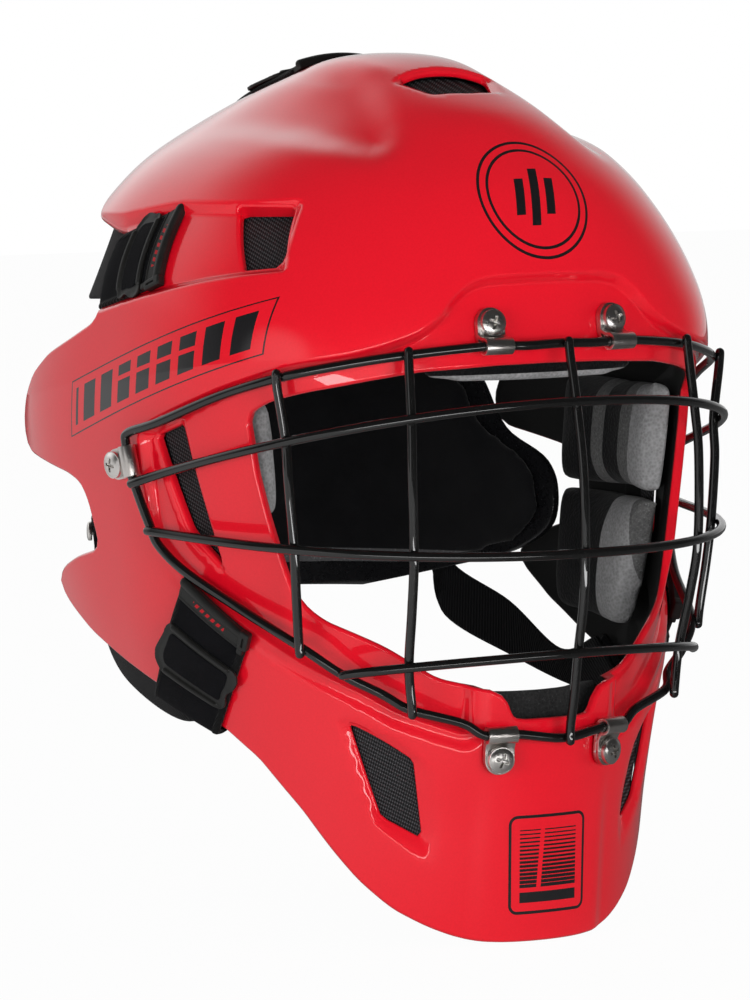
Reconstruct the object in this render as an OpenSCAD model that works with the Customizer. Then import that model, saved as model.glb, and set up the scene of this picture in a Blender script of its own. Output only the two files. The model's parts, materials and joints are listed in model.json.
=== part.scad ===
// Floorball goalie helmet: a moulded shell, a welded wire cage on six clips, foam pads,
// and a sprung back plate on five straps with pull tabs.
// Frame: the wearer looks along -Y, the wearer's left is +X, up is +Z.
// The origin is where the top of the head meets the crown pad.

/* [Shell] */
// Width of the shell over its side lobes
shell_width = 230; // [224:1:240]
// Reach of the shell in front of the head's centre
shell_front = 117; // [114:1:122]
// Reach of the shell's widest ring behind the head's centre
shell_rear = 108; // [104:1:112]
// Height of the crown above the top of the head
crown_height = 25.5; // [23:0.5:29]
// Drop from the top of the head to the chin's lower edge
chin_drop = 288; // [276:1:300]
// Wall of the shell
wall = 4.2; // [3.6:0.1:5]
// Depth of the stepped panel round the cage and of the strap channels
step_depth = 4.5; // [3.6:0.1:4.8]
// Depth of the sunk sides of the crown
crown_sunk = 5.5; // [4.5:0.25:6]

/* [Face opening] */
// Width of the opening at its upper corners
opening_width = 196; // [184:1:202]
// Height of the opening's top edge below the top of the head
opening_top = 82.5; // [80:0.5:86]
// Height of the opening's lower edge below the top of the head
opening_bottom = 197; // [192:0.5:199]
// Width of the notch over the chin pad
notch_width = 41; // [30:1:48]
// Depth of the notch over the chin pad
notch_depth = 11; // [7:0.5:12]

/* [Cage] */
// Diameter of the cage's wires
wire_d = 4; // [3.4:0.1:4.6]
// Bulge of the middle cross wire in front of the head's centre
cage_reach = 135.6; // [133:0.5:142]
// Spacing of the inner upright wires
inner_uprights = 123; // [112:1:130]
// Spacing of the outer upright wires
outer_uprights = 189; // [182:1:192]

/* [Clips and screws] */
// Width of a clip's strip
clip_w = 11; // [9:0.5:12]
// Thickness of a clip's strip
clip_t = 1.2; // [1:0.1:1.5]
// Height of the rim wire's centre over the seats of the side and chin clips
clip_rise = 3.7; // [3.6:0.1:4.2]
// Height of the rim wire's centre over the seats of the brow clips
brow_rise = 5.8; // [5:0.1:6.2]
// Thread diameter of the clip screws
screw_d = 5; // [4:0.5:5]
// Head diameter of the clip screws
screw_head_d = 9.6; // [8.8:0.2:9.8]
// Flange diameter of the nuts inside the shell
nut_flange_d = 9.6; // [9:0.2:10]
// Flange thickness of the nuts inside the shell
nut_flange_t = 1.2; // [1:0.1:1.3]

/* [Straps] */
// Width of the top strap
strap_w = 38; // [32:1:40]
// Thickness of the loop fabric straps
strap_t = 1.8; // [1.4:0.1:2.2]
// Thickness of a strap's moulded end
strap_end_t = 4; // [3.2:0.2:4.6]
// Thickness of a pull tab
tab_t = 2.6; // [2:0.1:3]
// Running gap between a pull tab and its strap
tab_gap = 0.5; // [0.4:0.1:0.8]
// Thickness of the elastic webbing
elastic_t = 1.4; // [1:0.1:1.8]

/* [Lining] */
// Thickness of the brow and side pads
pad_t = 13; // [9:0.5:14]
// Gap between the pads and the panel's wall, taken by hook patches and vent mesh
lining_gap = 2.4; // [2.2:0.1:2.8]
// Thickness of the vent mesh
mesh_t = 0.8; // [0.6:0.1:1]
// Clearance between parts that lie on each other
seat_gap = 0.4; // [0.3:0.05:0.5]

/* [Back plate] */
// Width of the back plate
plate_width = 190; // [180:1:194]
// Reach of the back plate behind the head's centre
plate_rear = 115; // [110:1:118]
// Thickness of the back plate
plate_t = 3; // [2.5:0.1:3.6]
// Thickness of the back plate's lining
plate_pad_t = 8; // [6:0.5:10]

/* [Hidden] */

red = [0.80, 0.06, 0.08];
black = [0.07, 0.07, 0.08];
nickel = [0.55, 0.53, 0.50];
foam_grey = [0.30, 0.30, 0.31];

// Thickness of the riser round the stepped panel
riser = 3;

// Facets: rings down to the brow, rings below it, sides round the head, and round wires and holes
crown_rings = 16;
skin_rings = 16;
skin_sides = 48;
lining_rings = 12;
lining_sides = 44;
wire_sides = 8;
round_fn = 12;
small_fn = 12;

// Sizes that the ring table below is drawn at, and the levels that stay put when they change
drawn_half_width = 115;
drawn_front = 117;
drawn_rear = 108;
drawn_crown = 25.5;
drawn_chin = 288;
brow_level = -50;
jaw_level = -208;

function wide(x) = x * shell_width / 2 / drawn_half_width;
function deep(y) = y < 0 ? y * shell_front / drawn_front : y * shell_rear / drawn_rear;
function high(z) =
    z > brow_level ? brow_level + (z - brow_level) * (crown_height - brow_level) / (drawn_crown - brow_level)
    : z < jaw_level ? jaw_level + (z - jaw_level) * (chin_drop + jaw_level) / (drawn_chin + jaw_level)
    : z;

function fitted(points) = [for (p = points) [wide(p[0]), deep(p[1]), high(p[2])]];

// Rings of the shell: height, half width, front, rear, widest place, squareness in front and behind
drawn_rings = [
    [25.5, 0.1, -15.1, -14.9, -15, 2, 2],
    [22.5, 22, -36, 8, -14, 2, 2],
    [16, 36, -54, 26, -13, 2, 2],
    [4, 53, -79, 60, -11, 2, 2],
    [-12, 80, -95, 79, -6, 2.05, 2.05],
    [-28, 97, -105, 86, -2, 2.15, 2.15],
    [-50, 110, -112, 96, 0, 2.35, 2.4],
    [-74, 114, -116, 104, 0, 2.6, 2.9],
    [-105, 115, -117, 108, 0, 2.4, 3.3],
    [-140, 112, -117, 106, 0, 2.25, 3.2],
    [-175, 107, -117, 100, 0, 2.15, 2.9],
    [-205, 100, -116, 90, 0, 2.05, 2.5],
    [-235, 95, -114, 78, 0, 2, 2.2],
    [-262, 92, -112, 60, 0, 2, 2],
    [-290, 90, -110, 45, 0, 2, 2]];
rings = [for (r = drawn_rings)
    [high(r[0]), wide(r[1]), deep(r[2]), deep(r[3]), deep(r[4]), r[5], r[6]]];
last_ring = len(rings) - 1;

// A smooth curve through four values
function through(p, t) =
    0.5 * (2 * p[1] + (p[2] - p[0]) * t + (2 * p[0] - 5 * p[1] + 4 * p[2] - p[3]) * t * t
        + (3 * p[1] - 3 * p[2] + p[3] - p[0]) * t * t * t);
function curve(points, u) =
    let (last = len(points) - 1, i = max(0, min(last - 1, floor(u))), a = points[i], b = points[i + 1],
        before = i > 0 ? points[i - 1] : 2 * a - b, after = i + 2 <= last ? points[i + 2] : 2 * b - a)
    through([before, a, b, after], u - i);

// A point of a ring, at an angle from the front towards the wearer's left
function ring_radius(r, angle) =
    let (ahead = cos(angle) > 0, reach = ahead ? r[4] - r[2] : r[3] - r[4], square = ahead ? r[5] : r[6])
    pow(pow(abs(sin(angle)) / r[1], square) + pow(abs(cos(angle)) / reach, square), -1 / square);
function ring_point(r, angle) =
    let (radius = ring_radius(r, angle)) [radius * sin(angle), r[4] - radius * cos(angle), r[0]];
function skin_point(v, angle, table) = ring_point(curve(table, v), angle);
function skin_normal(v, angle, table) =
    v < 0.05 ? [0, 0, 1]
    : let (down = skin_point(v + 0.04, angle, table) - skin_point(v - 0.04, angle, table),
        round = skin_point(v, angle + 1, table) - skin_point(v, angle - 1, table), n = cross(down, round))
    n / norm(n);
// Sunk sides of the crown, beside its raised middle: an outline in width and depth for the wearer's left,
// the width of the slope inside it, and where the sunk part runs out at the back and below
sunk_outline = [[17, -44], [22, -58], [27, -72], [33, -80], [41, -84], [49, -83.5], [57, -79], [63, -70],
    [68.5, -55], [72.5, -30], [73, 8], [66, 50], [46, 60], [24, 45], [14, 5], [14, -25]];
sunk_edge = [for (p = sunk_outline) [wide(p[0]), deep(p[1])]];
sunk_slope = 17;
sunk_back = [30, -45];
sunk_low = [-45, -25];
// A soft start and end from 0 to 1
function ease(t) = let (s = max(0, min(1, t))) s * s * s * (s * (6 * s - 15) + 10);
function fade(value, ends) = ease((value - ends[0]) / (ends[1] - ends[0]));
function inward(x, y, outline) = min([for (k = [0 : len(outline) - 1])
    let (a = outline[k], way = outline[(k + 1) % len(outline)] - a)
    (way[0] * (y - a[1]) - way[1] * (x - a[0])) / norm(way)]);
function sunk(p) = p[2] < sunk_low[0] ? 0
    : crown_sunk * fade(p[2], sunk_low) * fade(p[1], sunk_back)
        * ease(inward(abs(p[0]), p[1], sunk_edge) / sunk_slope);

// A point at a depth under the skin
function skin(v, angle, depth, table = rings) =
    let (p = skin_point(v, angle, table)) p - (depth + sunk(p)) * skin_normal(v, angle, table);

// Places on the skin by what is known of them: depth and height, width and height, or width and depth
function ring_at(z, low, high_end, tries = 16, table = rings) =
    let (mid = (low + high_end) / 2)
    tries == 0 ? mid
    : curve(table, mid)[0] > z ? ring_at(z, mid, high_end, tries - 1, table)
    : ring_at(z, low, mid, tries - 1, table);
function partner(share, square) = pow(max(0, 1 - pow(min(1, abs(share)), square)), 1 / square);
function side_angle(y, r) =
    let (ahead = y < r[4], reach = ahead ? r[4] - r[2] : r[3] - r[4], square = ahead ? r[5] : r[6])
    atan2(r[1] * partner((y - r[4]) / reach, square), r[4] - y);
function front_angle(x, r) = atan2(x, (r[4] - r[2]) * partner(x / r[1], r[5]));
function on_side(y, z, depth = 0, table = rings) =
    let (v = ring_at(high(z), 0, last_ring, table = table)) skin(v,
        side_angle(deep(y), curve(table, v)), depth, table);
function on_front(x, z, depth = 0) =
    let (v = ring_at(high(z), 0, last_ring)) skin(v, front_angle(wide(x), curve(rings, v)), depth);
function holds(x, y, r) =
    let (ahead = y < r[4], reach = ahead ? r[4] - r[2] : r[3] - r[4], square = ahead ? r[5] : r[6])
    pow(abs(x) / r[1], square) + pow(abs(y - r[4]) / reach, square) < 1;
function ring_round(x, y, low, high_end, tries = 16) =
    let (mid = (low + high_end) / 2)
    tries == 0 ? mid
    : holds(x, y, curve(rings, mid)) ? ring_round(x, y, low, mid, tries - 1)
    : ring_round(x, y, mid, high_end, tries - 1);
function on_crown(x, y, depth = 0) =
    let (v = ring_round(wide(x), deep(y), 0, last_ring), r = curve(rings, v))
    skin(v, atan2(wide(x), r[4] - deep(y)), depth);

// Solids from grids of points. A grid's rows run down and its columns to the right, seen from outside.
function grid_faces(rows, cols, start, turn) = [for (i = [0 : rows - 2]) for (j = [0 : cols - 2])
    let (a = start + i * cols + j, b = a + 1, c = b + cols, d = a + cols)
    each turn ? [[a, c, b], [a, d, c]] : [[a, b, c], [a, c, d]]];
function edge_faces(loop, shift) = [for (k = [0 : len(loop) - 1])
    let (a = loop[k], b = loop[(k + 1) % len(loop)])
    each [[a, a + shift, b + shift], [a, b + shift, b]]];
function grid_loop(rows, cols) = concat([for (j = [0 : cols - 1]) j],
    [for (i = [1 : rows - 1]) i * cols + cols - 1],
    [for (j = [cols - 2 : -1 : 0]) (rows - 1) * cols + j],
    [for (i = [rows - 2 : -1 : 1]) i * cols]);
module sheet(outer, inner) {
    rows = len(outer);
    cols = len(outer[0]);
    count = rows * cols;
    polyhedron(concat([for (row = outer) each row], [for (row = inner) each row]),
        concat(grid_faces(rows, cols, 0, false), grid_faces(rows, cols, count, true),
            edge_faces(grid_loop(rows, cols), count)));
}

// A closed skin at a depth, from the crown to below the chin, with closer rings down to the brow
brow_ring = 6;
module skin_solid(depth, low_rings = skin_rings, sides = skin_sides) {
    across_rings = crown_rings + low_rings;
    points = concat([skin(0, 0, depth)],
        [for (i = [1 : across_rings]) for (j = [0 : sides - 1])
            skin(i < crown_rings ? i * brow_ring / crown_rings
                : brow_ring + (i - crown_rings) * (last_ring - brow_ring) / low_rings, j * 360 / sides,
                    depth)],
        [[0, 0, rings[last_ring][0]]]);
    bottom = len(points) - 1;
    polyhedron(points, concat(
        [for (j = [0 : sides - 1]) [0, 1 + (j + 1) % sides, 1 + j]],
        [for (i = [0 : across_rings - 2]) for (j = [0 : sides - 1])
            let (a = 1 + i * sides + j, b = 1 + i * sides + (j + 1) % sides, c = b + sides, d = a + sides)
            each [[a, b, c], [a, c, d]]],
        [for (j = [0 : sides - 1]) [bottom - sides + j, bottom - sides + (j + 1) % sides, bottom]]));
}

// A flat patch of the skin between four corners, as a grid of points
function between(quad, u, v) =
    (quad[0] * (1 - u) + quad[1] * u) * (1 - v) + (quad[3] * (1 - u) + quad[2] * u) * v;
function side_grid(quad, depth, rows, cols) = [for (i = [0 : rows - 1]) [for (j = [0 : cols - 1])
    let (p = between(quad, j / (cols - 1), i / (rows - 1))) on_side(p[0], p[1], depth)]];
function front_grid(quad, depth, rows, cols) = [for (i = [0 : rows - 1]) [for (j = [0 : cols - 1])
    let (p = between(quad, j / (cols - 1), i / (rows - 1))) on_front(p[0], p[1], depth)]];
function crown_grid(quad, depth, rows, cols) = [for (i = [0 : rows - 1]) [for (j = [0 : cols - 1])
    let (p = between(quad, j / (cols - 1), i / (rows - 1))) on_crown(p[0], p[1], depth)]];

// A pad's thickness over its face: full in the middle, drawn in at its edges
edge_share = 0.45;
function drawn_in(u) = edge_share + (1 - edge_share) * pow(1 - pow(abs(2 * u - 1), 4), 0.5);
function swell(i, j, rows, cols) = drawn_in(i / (rows - 1)) * drawn_in(j / (cols - 1));
function side_pad_grid(quad, depth, thick, rows, cols) = [for (i = [0 : rows - 1]) [for (j = [0 : cols - 1])
    let (p = between(quad, j / (cols - 1), i / (rows - 1)))
    on_side(p[0], p[1], depth + thick * swell(i, j, rows, cols))]];
function front_pad_grid(quad, depth, thick, rows, cols) = [for (i = [0 : rows - 1]) [for (j = [0 : cols - 1])
    let (p = between(quad, j / (cols - 1), i / (rows - 1)))
    on_front(p[0], p[1], depth + thick * swell(i, j, rows, cols))]];

// Prisms through the shell: outlines in depth and height run across it, in width and height along it
module across(outline, from = 60, to = 200) {
    rotate([90, 0, 90]) translate([0, 0, from]) linear_extrude(to - from)
        polygon([for (p = outline) [deep(p[0]), high(p[1])]]);
}
module both_sides() {
    children();
    mirror([1, 0, 0]) children();
}
module front_hole(outline) hull() for (p = outline) {
    dot(on_front(p[0], p[1], -3));
    dot(on_front(p[0], p[1], 2 * wall));
}
function mirrored(outline) = concat(outline,
    [for (k = [len(outline) - 1 : -1 : 0]) [-outline[k][0], outline[k][1]]]);

// Rear and lower edge of the shell, seen from the side
rear_outline = [[-160, 60], [72, 60], [72, -4], [61, -15], [51, -24], [43, -30], [34, -34], [20, -35.5],
    [9.5, -36], [7.5, -38], [7.5, -66.5], [11, -70.5], [25, -76.5], [42, -83], [56, -91], [63, -99],
        [66.5, -108],
    [65.5, -116], [60, -120.5], [46, -123], [28, -126], [20, -129], [16, -135], [12, -149], [14, -152.5],
    [28, -156], [40, -160.5], [46, -165], [46, -169], [41, -174], [26, -183.5], [6, -192.5], [-13, -200],
    [-42, -213], [-54, -223], [-67, -240.5], [-75, -254], [-82, -265], [-90, -275], [-98, -282],
    [-104, -286.5], [-109, -drawn_chin], [-160, -drawn_chin]];

// Face opening, drawn for the wearer's left half
half_opening = opening_width / 2;
opening_outline = mirrored([[0, -opening_top], [23, -opening_top - 0.3], [53, -opening_top - 2],
    [70, -opening_top - 5], [88, -opening_top - 10], [half_opening - 4, -opening_top - 12.5],
    [half_opening, -opening_top - 17], [half_opening - 3.5, -120], [half_opening - 7.5, -135],
    [half_opening - 11, -148], [half_opening - 15, -162], [half_opening - 17.5, -168],
        [half_opening - 22, -173],
    [half_opening - 36, -opening_bottom + 15], [half_opening - 54, -opening_bottom + 3.5],
    [notch_width / 2 + 10, -opening_bottom + 0.7], [notch_width / 2 + 4, -opening_bottom],
    [notch_width / 2 - 0.5, -opening_bottom - 3], [notch_width / 2 - 3.5, -opening_bottom - notch_depth + 1],
    [notch_width / 2 - 7, -opening_bottom - notch_depth]]);

// Stepped panel round the cage: its front part is drawn in width and height, its side part in depth
// and height
panel_split = 78;
panel_front = [[0, -50], [24, -50.3], [33, -52], [41, -57.5], [48, -65], [55, -69.5], [66, -73.5],
    [panel_split, -77],
    [panel_split, -191], [66, -199], [56, -205.5], [42, -211], [34, -213.5], [31, -212], [31, -190],
        [0, -190]];
panel_side = [[-150, -77], [-98.5, -77], [-86, -79.8], [-60, -88.8], [-35, -99.3], [-23, -104.5],
    [-19, -109], [-21, -140],
    [-23.5, -148], [-32, -156.5], [-60, -177.5], [-78, -191], [-150, -191]];
// Channel of the upper strap, open at the rear, with the temple vent in its front end
channel_outline = [[-68, -23.5], [-45, -25], [-20, -25.5], [12, -31], [30, -33], [30, -72], [12, -69],
    [-14, -62.5], [-48, -54.5], [-62, -52], [-77, -50]];
temple_vent = [[-47.5, -28.5], [-65, -28], [-73, -45], [-71.5, -47.5], [-61.5, -48.5]];
cheek_vent = [[-28, -109.5], [-40, -105.5], [-50, -150.5], [-40, -141]];
cheek_flare = [[-23, -109.5], [-24, -106.5], [-41.5, -101.5], [-53, -155], [-50, -155.5], [-36, -143]];
jaw_vent = [[65, -211], [50.5, -222.5], [46.5, -247], [56, -240.5]];
jaw_flare = [[70, -207], [54, -213], [43, -224], [39, -238], [40.5, -255], [44, -258], [58, -243]];
crown_vent = [[-19, -47], [-9, -45.5], [9, -45.5], [19, -47], [13, -59], [0, -61], [-13, -59]];
crown_flare = [[-24, -46], [-10, -43.5], [10, -43.5], [24, -46], [17, -63], [0, -66], [-17, -63]];

// A tapered cut that follows the skin, from an outline above it to a smaller one below it
module side_flare(outer, inner, depth) {
    for (k = [0 : len(outer) - 1]) hull() {
        for (p = [outer[k], outer[(k + 1) % len(outer)]]) dot(on_side(p[0], p[1], -2));
        for (p = inner) for (d = [-3, depth]) dot(on_side(p[0], p[1], d));
    }
}
module front_flare(outer, inner, depth) {
    for (k = [0 : len(outer) - 1]) hull() {
        for (p = [outer[k], outer[(k + 1) % len(outer)]]) dot(on_front(p[0], p[1], -2));
        for (p = inner) for (d = [-3, depth]) dot(on_front(p[0], p[1], d));
    }
}
module crown_flare_cut(outer, inner, depth) {
    for (k = [0 : len(outer) - 1]) hull() {
        for (p = [outer[k], outer[(k + 1) % len(outer)]]) dot(on_crown(p[0], p[1], -3));
        for (p = inner) for (d = [-3, depth]) dot(on_crown(p[0], p[1], d));
    }
}
module dot(p) {
    translate(p) cube(0.2, center = true);
}

// Clip seats, for the wearer's left: place, a point outwards of it, roll of the clip about that line,
// height of the rim wire over the seat, and distance from the screw to the rim wire
brow_seat = [on_front(26.5, -67.5, step_depth), on_front(26.5, -67.5, 0), 0, brow_rise, 8.4];
side_seat = [on_side(-11, -119.6, 0), on_side(-11, -119.6, -1), -102, clip_rise, 9.6];
chin_seat = [on_front(23, -221, 0), on_front(23, -221, -1), 180, clip_rise, 9];
seats = [brow_seat, side_seat, chin_seat];
function seat_out(seat) = let (out = seat[1] - seat[0]) out / norm(out);
// Moves a piece drawn with its screw along +X and its tab towards -Z to a seat
module on_seat(seat) {
    out = seat_out(seat);
    translate(seat[0]) rotate([0, -asin(out[2]), atan2(out[1], out[0])]) rotate([seat[2], 0, 0]) children();
}
// The rim wire's centre where it passes a clip, at a distance along the wire
function seat_wire(seat, along_wire) =
    let (out = seat_out(seat), turn = atan2(out[1], out[0]), flat_side = [-sin(turn), cos(turn), 0],
        flat_up = cross(out, flat_side), side = cos(seat[2]) * flat_side + sin(seat[2]) * flat_up,
        up = cos(seat[2]) * flat_up - sin(seat[2]) * flat_side)
    seat[0] + seat[3] * out - seat[4] * up + along_wire * side;
hole_gap = 0.4;
hole_d = screw_d + 2 + 2 * hole_gap;

module shell() color(red) difference() {
    intersection() {
        difference() {
            skin_solid(0);
            difference() {
                skin_solid(wall, lining_rings, lining_sides);
                panel_zone(riser);
            }
            skin_solid(step_depth + wall, lining_rings, lining_sides);
            difference() {
                panel_zone(0);
                skin_solid(step_depth);
            }
        }
        rotate([90, 0, 90]) linear_extrude(400, center = true) offset(r = 2) offset(delta = -2)
            polygon([for (p = rear_outline) [deep(p[0]), high(p[1])]]);
    }
    rotate([90, 0, 0]) translate([0, 0, 30]) linear_extrude(170) offset(r = 3) offset(delta = -3)
        polygon([for (p = opening_outline) [wide(p[0]), high(p[1])]]);
    both_sides() {
        across(temple_vent, 50);
        across(cheek_vent);
        front_hole(jaw_vent);
        side_flare(cheek_flare, cheek_vent, step_depth + 2.2);
        front_flare(jaw_flare, jaw_vent, 3.2);
        for (seat = seats) on_seat(seat) rotate([0, 90, 0])
            cylinder(d = hole_d, h = 5 * wall, center = true, $fn = 20);
    }
    crown_flare_cut(crown_flare, crown_vent, 3);
    translate([0, 0, -2]) linear_extrude(60) polygon([for (p = crown_vent) [wide(p[0]), deep(p[1])]]);
}
module panel_zone(grown) {
    rotate([90, 0, 0]) translate([0, 0, 20]) linear_extrude(180) offset(r = grown)
        polygon([for (p = mirrored(panel_front)) [wide(p[0]), high(p[1])]]);
    both_sides() {
        rotate([90, 0, 90]) translate([0, 0, wide(panel_split) - 0.01]) linear_extrude(100) offset(r = grown)
            polygon([for (p = panel_side) [deep(p[0]), high(p[1])]]);
        rotate([90, 0, 90]) translate([0, 0, 50]) linear_extrude(150) offset(r = grown)
            polygon([for (p = channel_outline) [deep(p[0]), high(p[1])]]);
    }
}

// Vent meshes, behind their openings, at a gap that clears the lining's facets
mesh_lap = 3;
mesh_seat = 0.6;
temple_seat = 1.1;
function grown_quad(quad, lap) = let (c = (quad[0] + quad[1] + quad[2] + quad[3]) / 4)
    [for (p = quad) p + lap * (p - c) / norm(p - c)];
module side_mesh(quad, depth) {
    q = grown_quad(quad, mesh_lap);
    color(black) sheet(side_grid(q, depth, 5, 5), side_grid(q, depth + mesh_t, 5, 5));
}
module vent_mesh_temple_left()
    side_mesh([[-66, -27], [-46, -28], [-60, -49.5], [-74, -48.5]], step_depth + wall + temple_seat);
module vent_mesh_temple_right() mirror([1, 0, 0]) vent_mesh_temple_left();
module vent_mesh_cheek_left()
    side_mesh([[-40, -105], [-28, -109], [-40, -141.5], [-50, -151]], step_depth + wall + mesh_seat);
module vent_mesh_cheek_right() mirror([1, 0, 0]) vent_mesh_cheek_left();
module vent_mesh_jaw_left() {
    q = grown_quad([[50.5, -222], [65, -210.5], [56.5, -241], [46.5, -248]], mesh_lap);
    color(black) sheet(front_grid(q, wall + mesh_seat, 5, 5), front_grid(q, wall + mesh_seat + mesh_t, 5, 5));
}
module vent_mesh_jaw_right() mirror([1, 0, 0]) vent_mesh_jaw_left();
module vent_mesh_crown() {
    q = grown_quad([[-19, -45], [19, -45], [13, -61], [-13, -61]], mesh_lap);
    color(black) sheet(crown_grid(q, wall + mesh_seat, 5, 5), crown_grid(q, wall + mesh_seat + mesh_t, 5, 5));
}

// A wire swept along a path of points, with flat ends
function path_way(path, i) =
    let (a = path[max(0, i - 1)], b = path[min(len(path) - 1, i + 1)]) (b - a) / norm(b - a);
function loop_way(path, i) =
    let (n = len(path), way = path[(i + 1) % n] - path[(i + n - 1) % n]) way / norm(way);
module wire(path, closed = false) {
    n = len(path);
    points = [for (i = [0 : n - 1])
        let (way = closed ? loop_way(path, i) : path_way(path, i),
            side = let (s = cross(way, abs(way[2]) > 0.8 ? [1, 0, 0] : [0, 0, 1])) s / norm(s),
            up = cross(side, way))
        for (k = [0 : wire_sides - 1])
            path[i] + wire_d / 2 * (cos(k * 360 / wire_sides) * side + sin(k * 360 / wire_sides) * up)];
    body = [for (i = [0 : n - (closed ? 1 : 2)]) for (k = [0 : wire_sides - 1])
        let (a = i * wire_sides + k, b = i * wire_sides + (k + 1) % wire_sides,
            c = ((i + 1) % n) * wire_sides + (k + 1) % wire_sides, d = ((i + 1) % n) * wire_sides + k)
        each [[a, b, c], [a, c, d]]];
    ends = closed ? [] : concat(
        [for (k = [1 : wire_sides - 2]) [0, k + 1, k]],
        [for (k = [1 : wire_sides - 2]) let (s = (n - 1) * wire_sides) [s, s + k, s + k + 1]]);
    polyhedron(points, concat(body, ends));
}

// Shifts a cross wire's ends outwards, so that they lie over the rim wire
function cross_point(half, start, front, square, drop, drop_power, spread, angle) =
    let (c = abs(cos(angle)), n = abs(sin(angle)), x = half * pow(n, 2 / square),
        y = start - (start - front) * pow(c, 2 / square), share = (y - front) / (start - front),
            e = pow(share, 6))
    [sign(sin(angle)) * (x + spread[0] * e), y - spread[1] * e,
        drop[0] + (drop[1] - drop[0]) * pow(share, drop_power)];
module cross_wire(half, start, front, square, drop, drop_power, spread)
    wire([for (k = [-9 : 9])
        cross_point(wide(half), deep(start), front, square, [high(drop[0]), high(drop[1])], drop_power,
            spread,
            90 * sign(k) * pow(abs(k) / 9, 0.92))]);

middle_front = -cage_reach;
upper_front = middle_front + 5.5;
lower_front = middle_front + 4;
half_rim = concat(fitted([[0, -119, -75.3], [14, -118.3, -75.7]]),
    [for (s = [-6, 6]) seat_wire(brow_seat, s)],
    fitted([[59, -108, -78], [79, -96, -81.5], [95, -81.4, -86], [105, -60, -93], [114.6, -34.6, -103.6]]),
    [seat_wire(side_seat, -7.5) + [-0.2, -2, 2.8]],
    [for (s = [-6, 6]) seat_wire(side_seat, s)],
    fitted([[113.4, -27.6, -140.6], [111.4, -31, -148], [106.8, -41, -156.6], [97.6, -56.8, -167],
        [86, -81.7, -180.6], [75, -91, -190], [63, -98, -197], [55.8, -105.7, -202.4], [38, -111.5, -207.7]]),
    [for (s = [-6, 6]) seat_wire(chin_seat, s)],
    fitted([[0, -120.8, -214.5]]));
last_half = len(half_rim) - 1;
rim_stations = concat([for (k = [0 : last_half]) half_rim[k]],
    [for (k = [last_half - 1 : -1 : 1]) [-half_rim[k][0], half_rim[k][1], half_rim[k][2]]]);
function round_loop(points, u) =
    let (n = len(points), i = floor(u), p = [for (k = [-1 : 2]) points[(i + k + n) % n]]) through(p, u - i);
module cage_rim_wire() color(black)
    wire([for (k = [0 : 2 * len(rim_stations) - 1]) round_loop(rim_stations, k / 2)], closed = true);

module cage_cross_wires() color(black) {
    cross_wire(112, -14, upper_front, 2.45, [-95.2, -126.2], 0.9, [7.8, 9]);
    cross_wire(110.5, -23, middle_front, 2.2, [-148, -142], 1, [6, 5.5]);
    cross_wire(76, -91, lower_front, 1.7, [-183.4, -190.2], 1, [1.6, 1.9]);
}

inner_shift = [(inner_uprights - 123) / 2, 0, 0];
outer_shift = [(outer_uprights - 189) / 2, 0, 0];
centre_upright = [[0, -122.2, -72.8], [0, -123.4, -80], [0, -126.9, -95.2], [0, -131.2, -120.5],
    [0, -132.4, -148],
    [0, -131.4, -166], [0, -128.4, -183.4], [0, -126, -200], [0, -124, -210], [0, -124, -217]];
inner_upright = [[60.6, -111, -74.8], [61, -111.8, -82], [61.9, -114.6, -102], [62.6, -116, -118],
    [62.1, -116.4, -148], [60.9, -113.5, -167], [59.2, -109.3, -186.5], [57.7, -108.9, -200],
        [57.3, -108.9, -205.4]];
outer_upright = [[97.4, -83.4, -82.6], [96.8, -83.4, -90], [93.9, -84.2, -108], [93.6, -85.4, -122],
    [91.7, -85.9, -144], [90.2, -85, -160], [88.2, -83.6, -177], [87.4, -83.6, -184.4]];
function smooth(points, parts) =
    [for (k = [0 : parts]) curve(points, k * (len(points) - 1) / parts)];
module cage_upright_wires() color(black) {
    wire(smooth(fitted(centre_upright), 18));
    both_sides() {
        translate(inner_shift) wire(smooth(fitted(inner_upright), 14));
        translate(outer_shift) wire(smooth(fitted(outer_upright), 12));
    }
}

// A clip: a strip folded round the rim wire, both ends under the screw's head
module clip(seat) color(nickel) on_seat(seat) difference() {
    union() {
        rotate([90, 0, 0]) linear_extrude(clip_w, center = true) difference() {
            union() {
                translate([seat[3], -seat[4]]) circle(wire_d / 2 + clip_t + 0.1, $fn = round_fn);
                hull() {
                    translate([seat_gap / 2 + clip_t, -5.2]) circle(clip_t, $fn = 12);
                    translate([seat[3], -seat[4]] + (wire_d / 2 + 0.1) * [-0.6, 0.8]) circle(clip_t,
                        $fn = 12);
                }
            }
            translate([seat[3], -seat[4]]) circle(wire_d / 2 + 0.1, $fn = round_fn);
        }
        intersection() {
            translate([seat_gap / 2, -clip_w / 2, -5.6]) cube([2 * clip_t, clip_w, 11.6]);
            translate([0, 0, 0.5]) rotate([0, 90, 0]) union() {
                cylinder(d = clip_w, h = 10, $fn = round_fn);
                translate([0, -clip_w / 2, 0]) cube([8, clip_w, 10]);
            }
        }
    }
    rotate([0, 90, 0]) cylinder(d = screw_d + 2 * hole_gap, h = 30, center = true, $fn = round_fn);
}
module cage_clip_brow_left() clip(brow_seat);
module cage_clip_brow_right() mirror([1, 0, 0]) clip(brow_seat);
module cage_clip_side_left() clip(side_seat);
module cage_clip_side_right() mirror([1, 0, 0]) clip(side_seat);
module cage_clip_chin_left() clip(chin_seat);
module cage_clip_chin_right() mirror([1, 0, 0]) clip(chin_seat);

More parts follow.
